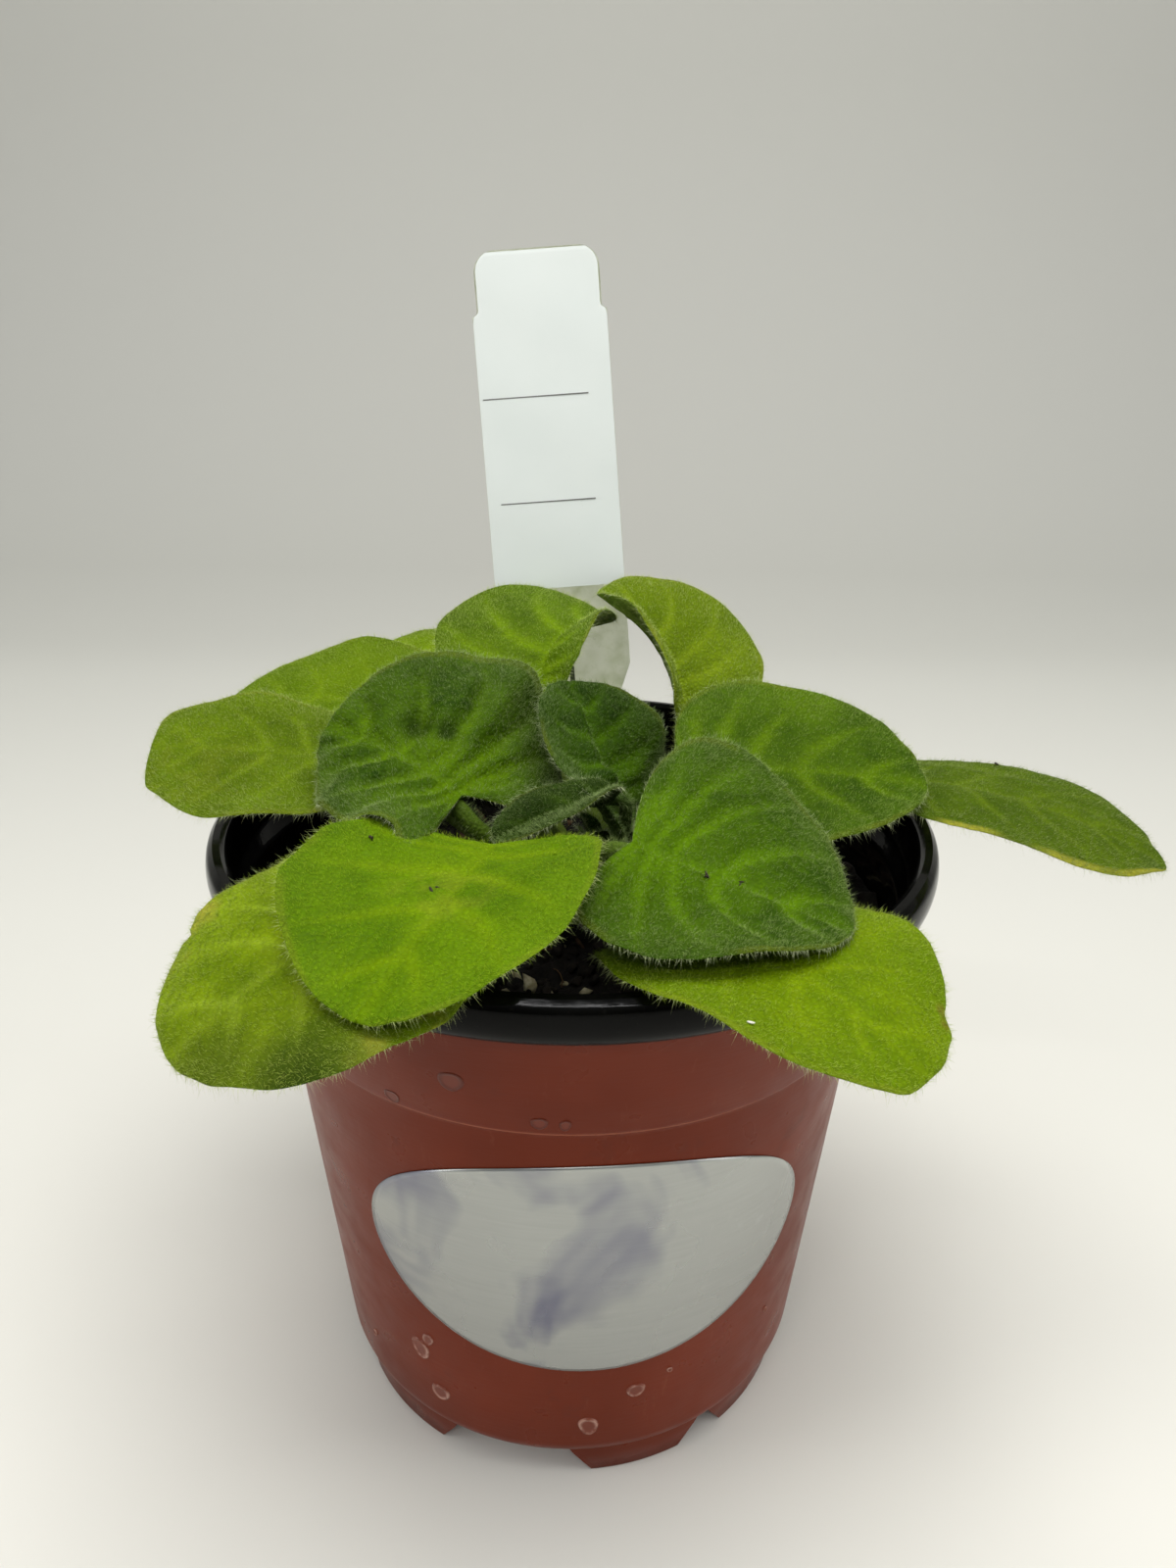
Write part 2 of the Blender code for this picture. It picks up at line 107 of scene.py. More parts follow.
class Shader:
    """A material with a few short ways to add nodes."""

    def __init__(self, name):
        self.m = bpy.data.materials.new(name)
        self.m.use_nodes = True
        self.t = self.m.node_tree
        self.t.nodes.clear()
        self.out = self.t.nodes.new("ShaderNodeOutputMaterial")
        self.p = self.t.nodes.new("ShaderNodeBsdfPrincipled")
        self.link(self.p.outputs[0], self.out.inputs[0])

    def link(self, a, b):
        self.t.links.new(a, b)

    def node(self, kind, *inputs):
        """A new node; each (socket, value) is linked or set."""
        n = self.t.nodes.new("ShaderNode" + kind)
        self.feed(n, *inputs)
        return n

    def feed(self, n, *inputs):
        for key, value in inputs:
            if isinstance(value, bpy.types.NodeSocket):
                self.link(value, n.inputs[key])
            else:
                n.inputs[key].default_value = value

    def fixed(self, **values):
        self.feed(self.p, *((k.replace("_", " "), v) for k, v in values.items()))
        return self

    def coord(self, scale=None):
        c = self.node("TexCoord").outputs["Object"]
        return c if scale is None else self.node("Mapping", ("Scale", scale), ("Vector", c)).outputs[0]

    def axis(self, name):
        return self.node("SeparateXYZ", (0, self.coord())).outputs[name]

    def noise(self, size, detail=2.0, rough=0.5, stretch=None, distort=0.0):
        """Noise whose features are about size mm."""
        return self.node("TexNoise", ("Scale", 1000.0 / size), ("Detail", detail), ("Roughness", rough),
                         ("Distortion", distort), ("Vector", self.coord(stretch))).outputs["Fac"]

    def cells(self, size):
        return self.node("TexVoronoi", ("Scale", 1000.0 / size), ("Vector", self.coord())).outputs["Distance"]

    def ramp(self, fac, *stops):
        n = self.node("ValToRGB", (0, fac))
        e = n.color_ramp.elements
        while len(e) < len(stops):
            e.new(0.5)
        for k, (pos, col) in enumerate(stops):
            e[k].position = pos
            e[k].color = col if isinstance(col, tuple) else (col, col, col, 1)
        return n.outputs[0]

    def blotch(self, size, lo, hi, *options):
        """0 to 1 patches of noise."""
        return self.ramp(self.noise(size, *options), (lo, 0.0), (hi, 1.0))

    def mix(self, a, b, fac, mode="MIX"):
        n = self.node("Mix")
        n.data_type = "RGBA"
        n.blend_type = mode
        self.feed(n, (0, fac), (6, a), (7, b))
        return n.outputs[2]

    def math(self, op, a, b=0.0, clamp=False):
        n = self.node("Math", (0, a), (1, b))
        n.operation = op
        n.use_clamp = clamp
        return n.outputs[0]

    def times(self, a, b, clamp=False):
        return self.math("MULTIPLY", a, b, clamp)

    def mask(self, name):
        a = self.node("Attribute")
        a.attribute_name = name
        return tuple(self.node("SeparateColor", (0, a.outputs["Color"])).outputs)

    def bump(self, height, mm, strength=1.0):
        return self.node("Bump", ("Strength", strength), ("Distance", mm * MM), ("Height", height)).outputs[0]

    def done(self, color=None, rough=None, normal=None):
        for value, key in ((color, "Base Color"), (rough, "Roughness"), (normal, "Normal")):
            if value is not None:
                self.link(value, self.p.inputs[key])
        return self.m


def plain(name, color, **values):
    return Shader(name).fixed(Base_Color=color, **values).m


# ------------------------------------------------------------------ faces and meshes
def quads(ids):
    """Four-cornered faces between neighbours in a grid of vertex numbers."""
    return np.stack([ids[:-1, :-1], ids[:-1, 1:], ids[1:, 1:], ids[1:, :-1]], -1).reshape(-1, 4).tolist()


def loop(ids):
    """The grid with its first column again at the end."""
    return np.hstack([ids, ids[:, :1]])


def fan(centre, ring):
    return [(centre, int(a), int(b)) for a, b in zip(ring, np.roll(ring, -1))]


def turned(rings, first, last, down=False):
    """Closed surface from the point first, up or down through the rings (n, seg, 3), to the point last."""
    verts = np.concatenate([[first], rings.reshape(-1, 3), [last]])
    ids = 1 + np.arange(len(verts) - 2).reshape(rings.shape[:2])
    turn = 1 if down else -1
    side = quads(loop(ids).T if down else loop(ids))
    return verts, side + fan(0, ids[0, ::turn]) + fan(len(verts) - 1, ids[-1, ::-turn])


def plate(front, back):
    """Faces of a closed plate from the vertex grids of its two sides."""
    return (quads(loop(np.hstack([front, back[:, ::-1]]))) + quads(np.stack([back[0], front[0]]))
            + quads(np.stack([front[-1], back[-1]])))


def tube(path, radii, seg=14, wobble=0.0, seed=0):
    """Closed tube along a path."""
    path = np.asarray(path, float)
    tan = unit(np.gradient(path, axis=0))
    ref = np.array([0.0, 0.0, 1.0]) if abs(tan[0][2]) < 0.9 else np.array([1.0, 0.0, 0.0])
    a = unit(np.cross(tan[0], ref))
    w = ring_angles(seg)[:, None]
    verts = []
    for c, t, r in zip(path, tan, radii):
        a = unit(a - t * np.dot(a, t))
        o = np.cos(w) * a + np.sin(w) * np.cross(t, a)
        verts.append(c + o * r * (1 + wobble * noise(c + o * 1.5, 2.2, seed))[:, None])
    ids = np.arange(len(path) * seg).reshape(-1, seg)
    return np.concatenate(verts), quads(loop(ids)) + [ids[0, ::-1].tolist(), ids[-1].tolist()]


def show(name, me, mats):
    for m in mats:
        me.materials.append(m)
    ob = bpy.data.objects.new(name, me)
    bpy.context.scene.collection.objects.link(ob)
    return ob


def make_object(name, verts, faces, mats, masks=None, face_mats=None):
    """verts in mm in the pot's axes; masks is {attribute: (n, 3)}."""
    me = bpy.data.meshes.new(name)
    me.from_pydata(put(verts).tolist(), [], faces)
    me.update()
    ob = show(name, me, mats)
    if face_mats is not None:
        me.polygons.foreach_set("material_index", np.asarray(face_mats, np.int32))
    for key, values in (masks or {}).items():
        a = me.attributes.new(key, "FLOAT_COLOR", "POINT")
        a.data.foreach_set("color", np.insert(values, 3, 1.0, axis=1).astype(np.float32).ravel())
    me.shade_smooth()
    me.update()
    return ob


def spikes(name, roots, dirs, lengths, radius, mats, kind=None):
    """Each hair is one slim closed tetrahedron."""
    n = len(roots)
    rng = np.random.default_rng(len(name) + n)
    d = unit(dirs)
    a = unit(np.cross(d, unit(rng.normal(size=(n, 3)))))
    b = np.cross(d, a)
    v = np.zeros((n, 4, 3))
    for k in range(3):
        w = 2 * pi * k / 3
        v[:, k] = roots - d * 0.06 + (a * cos(w) + b * sin(w)) * radius[:, None]
    v[:, 3] = roots + d * lengths[:, None]
    corners = np.array([(0, 1, 3), (1, 2, 3), (2, 0, 3), (2, 1, 0)])
    f = np.arange(n)[:, None, None] * 4 + corners
    me = bpy.data.meshes.new(name)
    me.vertices.add(n * 4)
    me.vertices.foreach_set("co", put(v.reshape(-1, 3)).astype(np.float32).ravel())
    me.loops.add(f.size)
    me.loops.foreach_set("vertex_index", f.astype(np.int32).ravel())
    me.polygons.add(n * 4)
    me.polygons.foreach_set("loop_start", np.arange(0, f.size, 3, dtype=np.int32))
    me.update(calc_edges=True)
    ob = show(name, me, mats)
    if kind is not None:
        me.polygons.foreach_set("material_index", np.repeat(kind, 4).astype(np.int32))
    return ob


def own(ob, *nodes, slot):
    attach(ob, "root")
    if nodes:
        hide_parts(*nodes)
    return ob


# ------------------------------------------------------------------ camera, first
CAM = dict(focal=1200.0, height=1600, place=(0.0, -160.6, 165.4), yaw=0.0125, down=22.7, roll=0.012)


def make_camera():
    yaw, pitch, roll = CAM["yaw"], radians(CAM["down"]), CAM["roll"]
    fwd = np.array([sin(yaw) * cos(pitch), cos(yaw) * cos(pitch), -sin(pitch)])
    right = np.array([cos(yaw), -sin(yaw), 0.0])
    up = np.cross(right, fwd)
    data = bpy.data.cameras.new("camera")
    data.sensor_fit = "AUTO"
    data.sensor_width = 36.0
    data.lens = data.sensor_width * CAM["focal"] / CAM["height"]
    data.clip_start, data.clip_end = 0.005, 20.0
    cam = bpy.data.objects.new("camera", data)
    bpy.context.scene.collection.objects.link(cam)
    m = np.identity(4)
    m[:3] = np.stack([cos(roll) * right + sin(roll) * up, cos(roll) * up - sin(roll) * right, -fwd,
                      put(CAM["place"])], 1)
    cam.matrix_world = Matrix(m.tolist())
    bpy.context.scene.camera = cam


make_camera()

# ------------------------------------------------------------------ leaves: shape from the CAD
CROWN = np.array([5.0, -8.0])
CROWN_PROFILE = [(0, 80.3), (5.4, 80.3), (6.2, 82.5), (6.2, 86.5), (5.5, 89.5), (4.4, 91.2), (0, 91.9)]
STALK_R = (1.6, 1.2)
YOUNG_SCALE = 0.65
FULL_LENGTH = 26.0                            # shorter blades get finer relief


def blade(*values, rise=14):
    keys = "base head pitch roll L W curl sweep twist cup fold wave lobe ovate stem".split()
    return dict(zip(keys, values), rise=rise)


LEAVES = {
    "leaf_front_left_upper": blade((-10, -30, 102.5), 254, 3, 6, 33, (16, 20), -26, -12, -5, (12, 22), (0, 0),
        (0.5, 1.5, 0), 0.14, 0.25, (87.8, 236, 0.4), rise=45),
    "leaf_front_left_lower": blade((-17, -34, 98.6), 223, 3, -10, 36, (20, 19), -36, -5, 14, (-6, -5), (0, 0),
        (0.6, 2, 40), 0.03, 0.02, (83.6, 224, 0.35)),
    "leaf_left": blade((-26, 1.7, 99), 175, 12, -1, 37, (17, 15), -12, 10, -21, (3, 1), (0, 0), (0.5, 2, 90),
        0.08, -0.02, (83.6, 160, 0.35)),
    "leaf_back_left": blade((-23, 20.5, 101.5), 161, 6, -11, 38, (12, 19), -16, 4, 0, (0, 11), (0, 0),
        (0.5, 2, 10), 0.08, 0.08, (87.8, 140, 0.45)),
    "leaf_back_left_low": blade((-17, 25, 101.5), 124, 14, -19, 34, (12, 11), -19, -2, -3, (0, 0), (0, 0),
        (0.4, 2, 70), 0.08, 0.04, (83.6, 118, 0.4)),
    "leaf_back": blade((-6, 15, 106.5), 84, 53, 3, 25, (19, 8), -68, -52, 0, (0, 4), (10, 30), (0.6, 1.5, 0),
        0.05, 0.12, (87.8, 88, 0.35)),
    "leaf_back_right": blade((18, 20, 102), 103, 63, 0, 27, (5, 16), -45, 66, -7, (7, 0), (40, 10),
        (0.4, 1.5, 0), 0.08, 0.12, (83.6, 62, 0.6)),
    "leaf_centre_left": blade((-15, -16.7, 103.4), 144, 23, 4, 25, (14, 25), -24, 4, -44, (0, -4), (0, 0),
        (0.7, 2.5, 0), 0.14, 0.34, (87.8, 196, 0.6)),
    "leaf_young_upright": blade((7, -8.2, 94.5), 136, 64, 26, 24, (10, 15), -29, -28, -27, (16, -3), (8, 0),
        (0.5, 1.5, 0), 0.08, 0.14, (92.3, 60, 9.0)),
    "leaf_young_small": blade((5.2, -17.5, 104.4), 208, -5, 0, 18, (7, 4), -11, 1, -20, (8, 5), (30, 30),
        (0.3, 1.5, 0), 0.05, 0.05, (89.4, 263, 1.2)),
    "leaf_front_right_upper": blade((7, -32, 104), 339, -12, 17, 28, (23, 18), -2, -4, -23, (5, 9), (0, 0),
        (0.4, 1.5, 0), 0.16, 0.29, (87.8, 292, 0.5)),
    "leaf_front_right_lower": blade((12, -35, 92.6), 307, 27, -4, 38, (21, 15), -57, 9, 1, (0, 0), (0, 0),
        (0.6, 2, 0), 0.14, 0.15, (83.6, 285, 0.15)),
    "leaf_right": blade((16, -4, 102), 353, 8, 19, 34, (19, 16), -16, -2, -7, (11, -2), (0, 0), (0.5, 1.5, 0),
        0.12, 0.2, (87.8, 22, 0.9)),
    "leaf_far_right": blade((42, 2, 98.5), 342, 9, -6, 44, (14, 13), -35, -4, 10, (1, -11), (0, 0),
        (0.3, 2, 0), 0.08, -0.05, (83.6, 8, 0.3)),
}


def look(light, dark, vein, hair, **more):
    """Colours, how far the surface puffs up between its veins, hairs and marks."""
    usual = dict(quilt=0.14, net=0.05, haze=0.3, fuzz=1.2, slot="leaf_old", veinw=1.0, crenate=0.07, palm=1.9,
                 bow=0.30, tip=0.0, under=(128, 152, 62))
    return dict(usual, light=light, dark=dark, vein=vein, hair=hair, **more)


# glow, patch, hollows and shade are (t, s, radius, amount), edge, swell and back are (side, t, width, mm)
LOOKS = {
    "leaf_front_left_upper": look((93, 125, 0), (76, 108, 0), (110, 138, 0), (150, 180, 30), haze=0.35,
        fuzz=1.1, veinw=1.5, veins=5, specks=[(0.34, -0.72), (0.55, -0.08)],
        patch=[(0.55, -0.05, 5.0, 0.12)]),
    "leaf_front_left_lower": look((130, 154, 10), (88, 112, 0), (142, 166, 34), (160, 178, 74), quilt=0.22,
        net=0.12, haze=0.9, fuzz=1.3, shade=[(0.7, 1.0, 10.0, 0.8), (0.86, 0.85, 8.0, 0.7)],
        patch=[(0.58, -0.95, 2.6, 1.0), (0.72, -0.95, 2.0, 0.7), (0.56, 0.97, 2.2, 0.9), (0.43, 0.98, 2.2, 0.9)],
        edge=[(-1, 0.64, 0.012, -0.8), (-1, 0.58, 0.02, 0.3)]),
    "leaf_left": look((92, 116, 6), (76, 98, 2), (106, 130, 14), (168, 184, 96), quilt=0.16, net=0.08,
        slot="leaf_mid", patch=[(0.34, 0.97, 3.0, 0.7), (0.78, 0.57, 8.0, 0.08)],
        swell=[(1, 0.86, 0.08, 0.8), (-1, 0.84, 0.08, 0.9)], tip=-0.3),
    "leaf_back_left": look((96, 122, 4), (82, 108, 0), (108, 134, 8), (166, 188, 84), haze=0.25, fuzz=1.0),
    "leaf_back_left_low": look((108, 136, 6), (96, 122, 2), (120, 146, 14), (174, 192, 96), haze=0.25,
        fuzz=1.0),
    "leaf_back": look((82, 108, 4), (62, 86, 0), (110, 140, 2), (168, 188, 92), quilt=0.22, net=0.08,
        slot="leaf_mid", veinw=1.3),
    "leaf_back_right": look((98, 120, 6), (84, 106, 2), (118, 140, 14), (178, 194, 106), net=0.06, haze=0.35,
        slot="leaf_mid", patch=[(0.5, 0.98, 2.2, 0.3)]),
    "leaf_centre_left": look((64, 92, 4), (30, 56, 0), (88, 120, 0), (138, 158, 96), quilt=1.15, net=0.2,
        haze=0.9, fuzz=1.5, slot="leaf_young", veinw=1.5, crenate=0.35, palm=2.4,
        hollows=[(0.64, -0.29, 2.3, 1.6), (0.51, -0.29, 1.8, 1.1)],
        ridges=[((0.56, -0.34), (0.54, -0.76), 1.2, 0.8), ((0.45, -0.23), (0.46, -0.92), 1.3, 0.8)],
        glow=[(0.38, -0.12, 6.0, 0.9), (0.62, -0.1, 4.5, 0.55), (0.22, 0.25, 5.0, 0.6)],
        edge=[(-1, 0.46, 0.05, 1.9)], swell=[(1, 0.13, 0.09, 7.5)], back=[(-1, 0.09, 0.11, 8.0)],
        under=(74, 96, 26), shade=[(0.36, -0.9, 5.5, 0.45), (0.1, -0.9, 4.0, 0.45)]),
    "leaf_young_upright": look((46, 72, 2), (24, 46, 0), (66, 98, 0), (120, 142, 84), quilt=0.6, net=0.16,
        haze=0.7, fuzz=1.8, slot="leaf_young", veinw=1.2, crenate=0.2,
        glow=[(0.45, -0.45, 5.0, 0.85), (0.42, -0.85, 5.5, 1.0)], swell=[(1, 0.26, 0.17, 6.5)],
        under=(58, 80, 30),
        ridges=[((0.82, 0.22), (0.45, 0.3), 1.5, 1.3), ((0.45, 0.3), (0.16, 0.42), 1.6, 1.6)],
        shade=[(0.3, 0.85, 4.5, 0.55)]),
    "leaf_young_small": look((40, 60, 6), (26, 44, 2), (54, 76, 10), (126, 146, 86), quilt=0.35, net=0.1,
        haze=0.7, fuzz=2.6, slot="leaf_young", crenate=0.15, under=(58, 78, 30)),
    "leaf_front_right_upper": look((56, 84, 0), (32, 58, 0), (90, 126, 0), (138, 160, 88), quilt=0.85,
        net=0.18, bow=0.12, under=(84, 106, 36), haze=0.8, fuzz=1.6, slot="leaf_young", veinw=1.8, palm=2.8,
        crenate=0.18, specks=[(0.52, -0.09), (0.65, -0.03)],
        glow=[(0.34, -0.12, 6.5, 0.95), (0.62, -0.25, 5.0, 0.5), (0.3, 0.4, 5.0, 0.45)],
        ridges=[((0.06, -0.3), (0.13, -0.5), 1.4, 0.8)]),
    "leaf_front_right_lower": look((106, 131, 0), (94, 121, 0), (118, 143, 4), (162, 184, 66), quilt=0.18,
        net=0.08, edge=[(1, 0.79, 0.02, -0.3), (1, 0.84, 0.02, 0.3)],
        swell=[(1, 0.92, 0.08, 0.3), (-1, 0.92, 0.08, 0.5)], grains=[(0.6, -0.88)],
        brown=[(0.78, 0.97, 1.0), (0.82, 0.97, 0.8)]),
    "leaf_right": look((64, 92, 0), (44, 70, 0), (94, 124, 0), (150, 174, 84), quilt=0.5, net=0.12, bow=0.15,
        haze=0.5, fuzz=1.3, slot="leaf_mid", veinw=1.7, crenate=0.12, palm=2.2, glow=[(0.5, 0.95, 7.0, 0.95)],
        shade=[(0.62, 0.15, 7.0, 0.2)]),
    "leaf_far_right": look((78, 100, 8), (62, 84, 4), (92, 114, 14), (146, 162, 92), quilt=0.2, haze=0.25,
        fuzz=0.9, slot="leaf_mid", rim=0.8, long=0.22, specks=[(0.48, 0.86)], tip=1.4),
}


def blade_frames(p, n=24):
    """Centre line of the blade and the directions along it, to its left and up from it."""
    s = np.linspace(0, 1, n + 1)
    yaw = np.radians(p["head"] + p["sweep"] * s)
    pit = np.radians(p["pitch"] + p["curl"] * s)
    rol = np.radians(p["roll"] + p["twist"] * s)[:, None]
    t = np.stack([np.cos(pit) * np.cos(yaw), np.cos(pit) * np.sin(yaw), np.sin(pit)], -1)
    l0 = np.stack([-np.sin(yaw), np.cos(yaw), 0 * yaw], -1)
    n0 = np.cross(t, l0)
    c = np.zeros((n + 1, 3))
    c[1:] = np.cumsum((t[1:] + t[:-1]) / 2 * (p["L"] / n), 0)
    return (s * p["L"], c + np.array(p["base"], float), t, np.cos(rol) * l0 + np.sin(rol) * n0,
            np.cos(rol) * n0 - np.sin(rol) * l0)


def along(x, st, a):
    return np.stack([np.interp(x, st, a[:, k]) for k in range(3)], -1)


def blade_points(p, x, y):
    """Flat blade position (x along, y to the left) to its place in space."""
    st, c, t, l, up = blade_frames(p)
    xs = np.clip(x, 0, p["L"])
    side = np.where(y >= 0, 1.0, -1.0)
    ay = np.abs(y)
    pick = lambda pair: np.where(y >= 0, pair[0], pair[1])
    w = pick(p["W"])
    fold = np.radians(pick(p["fold"]))
    k = np.radians(pick(p["cup"])) / w
    k = np.where(np.abs(k) < 1e-5, 1e-5, k)
    out = (np.sin(fold + k * ay) - np.sin(fold)) / k
    rise = (np.cos(fold) - np.cos(fold + k * ay)) / k
    amount, count, phase = p["wave"]
    rise = rise + amount * (ay / w) ** 2 * np.sin(2 * pi * count * x / p["L"] + radians(phase) * side
                                                  + (side < 0) * 1.3)
    tt = unit(along(xs, st, t))
    return (along(xs, st, c) + tt * (x - xs)[..., None] + unit(along(xs, st, l)) * (side * out)[..., None]
            + unit(along(xs, st, up)) * rise[..., None])


def bezier(a, b, c, d, u):
    return (1 - u) ** 3 * a + 3 * (1 - u) ** 2 * u * b + 3 * (1 - u) * u ** 2 * c + u ** 3 * d


def stalk_path(node, p, n=44):
    """The CAD stalk's centre line and radius, its end a little lower under puffed leaves."""
    z0, direction, slope = p["stem"]
    scale = YOUNG_SCALE if node.startswith("leaf_young") else 1.0
    d = np.array([cos(radians(direction)), sin(radians(direction)), 0.0])
    middle = np.array([*CROWN, z0])
    if slope > 5:                                     # rises from the crown's top
        start, t0 = middle + d * 1.7, np.array([0.0, 0.0, 1.0])
    else:
        r = np.interp(z0, *np.array(CROWN_PROFILE[1:]).T[::-1])
        lean = slope / math.hypot(1.0, slope)
        start, t0 = middle + d * (r + 0.35 + scale * STALK_R[0] * lean), unit(d + np.array([0, 0, slope]))
    st, c, t, _, up = blade_frames(p)
    drop = 0.9 * LOOKS[node]["quilt"]
    base = np.array(p["base"], float) - up[0] * (1.35 * scale + 0.6 * drop)
    under = along(p["L"] * 0.18, st, c) - up[0] * (0.95 * scale + drop)
    arrive = unit(t[0] + up[0] * math.tan(radians(p["rise"])))
    h, s = np.linalg.norm(base - start) * 0.36, p["L"] * 0.06
    u, v = np.linspace(0, 1, n)[:, None], np.linspace(0, 1, 8)[1:, None]
    pts = [bezier(start - t0 * 0.9, start + t0 * h, base - arrive * h, base, u),       # rooted inside the crown
           bezier(base, base + t[0] * s, under - t[0] * s, under, v)]
    rad = [STALK_R[0] + (STALK_R[1] - STALK_R[0]) * u, STALK_R[1] + (0.55 - STALK_R[1]) * v]
    return np.concatenate(pts), np.concatenate(rad)[:, 0] * scale


def outline(p, side, t):
    """Edge of the flat blade at the fraction t of the way to the tip."""
    a = pi * np.asarray(t, float)
    lobe = p["lobe"] * p["L"] * np.where(a < pi / 2, np.sin(2 * a), 0)
    return (p["L"] / 2 * (1 - np.cos(a)) - lobe,
            p["W"][0 if side > 0 else 1] * np.sin(a) * (1 + p["ovate"] * np.cos(a)))


def flat_grid(p, look, rows, half):
    """(x, y, t, s) of the blade's grid, with the small cuts and scallops of its edge."""
    v = np.linspace(0, 1, rows + 1)
    t = v - 0.06 * np.sin(4 * pi * v) / (4 * pi)
    xm = p["L"] * t ** 1.6
    s = 1 - (1 - np.linspace(0, 1, half + 1)) ** 1.5
    ends = np.minimum(1, 12 * np.minimum(t, 1 - t))
    tip = (look["tip"] * smooth(0.84, 1.0, t) ** 2)[:, None]
    out = []
    for side in (1, -1):
        bumps = lambda key: sum((mm * bell(t, t0, width) for which, t0, width, mm in look.get(key, ())
                                 if which == side), 0.0 * t)
        xo, yo = outline(p, side, t)
        grow = look["crenate"] * (np.abs(np.sin(pi * 11 * t + side)) ** 0.6 - 0.6) + bumps("edge")
        grow = grow + 0.12 * noise(np.stack([t * 60, side * 9 + 0 * t], -1), 3.0, 5)
        reach = np.maximum(np.hypot(xo - xm, yo), 3.0)
        ss = s[None] * (1 + (grow * ends / reach)[:, None] * s[None] ** 6
                        + (bumps("swell") * ends / reach)[:, None] * s[None] ** 2)
        back = (bumps("back") * ends)[:, None] * s[None] ** 2
        out.append((xm[:, None] + (xo - xm)[:, None] * ss ** 1.2 + tip - back, side * yo[:, None] * ss))
    x, y = (np.concatenate([out[1][k][:, ::-1], out[0][k][:, 1:]], 1) for k in (0, 1))
    sg = np.concatenate([-s[::-1], s[1:]])
    return x, y, np.broadcast_to(t[:, None], x.shape), np.broadcast_to(sg[None], x.shape)


def cell_edges(x, y, size, rng):
    """0 on the borders of a mesh of small cells, rising to 1 inside them."""
    sx, sy = np.meshgrid(np.arange(x.min() - size, x.max() + size, size),
                         np.arange(y.min() - size, y.max() + size, size))
    f1, f2 = np.full(x.shape, 1e9), np.full(x.shape, 1e9)
    for c in np.stack([sx.ravel(), sy.ravel()], -1) + rng.uniform(-0.42, 0.42, (sx.size, 2)) * size:
        d = np.hypot(x - c[0], y - c[1])
        f2 = np.minimum(f2, np.maximum(f1, d))
        f1 = np.minimum(f1, d)
    return np.clip((f2 - f1) / (size * 0.42), 0, 1)


def vein_lines(p, look, rng):
    """Side veins in the flat blade: they leave the midrib and bend towards the tip."""
    lines = []
    count = look.get("veins", 6 if p["L"] > 20 else 4)
    u = np.linspace(0, 1, 13)[:12, None]
    for side in (1, -1):
        for k in range(count):
            t = (k + 0.75 + rng.uniform(-0.12, 0.12)) / (count + 0.6)
            xe, ye = outline(p, side, t)
            x0 = p["L"] * t ** look["palm"]
            c = np.array([x0 + look["bow"] * (xe - x0), side * ye * 0.62])
            lines.append((1 - u) ** 2 * np.array([x0, 0.0]) + 2 * (1 - u) * u * c + u * u * np.array([xe, side * ye]))
    return lines


def line_distance(x, y, q):
    """Distance to a polyline and how far along it the nearest place is."""
    best, place = np.full(x.shape, 1e9), np.zeros(x.shape)
    for k in range(len(q) - 1):
        a, ab = q[k], q[k + 1] - q[k]
        u = np.clip(((x - a[0]) * ab[0] + (y - a[1]) * ab[1]) / (ab @ ab), 0, 1)
        d = np.hypot(x - a[0] - u * ab[0], y - a[1] - u * ab[1])
        place = np.where(d < best, (k + u) / (len(q) - 1), place)
        best = np.minimum(best, d)
    return best, place


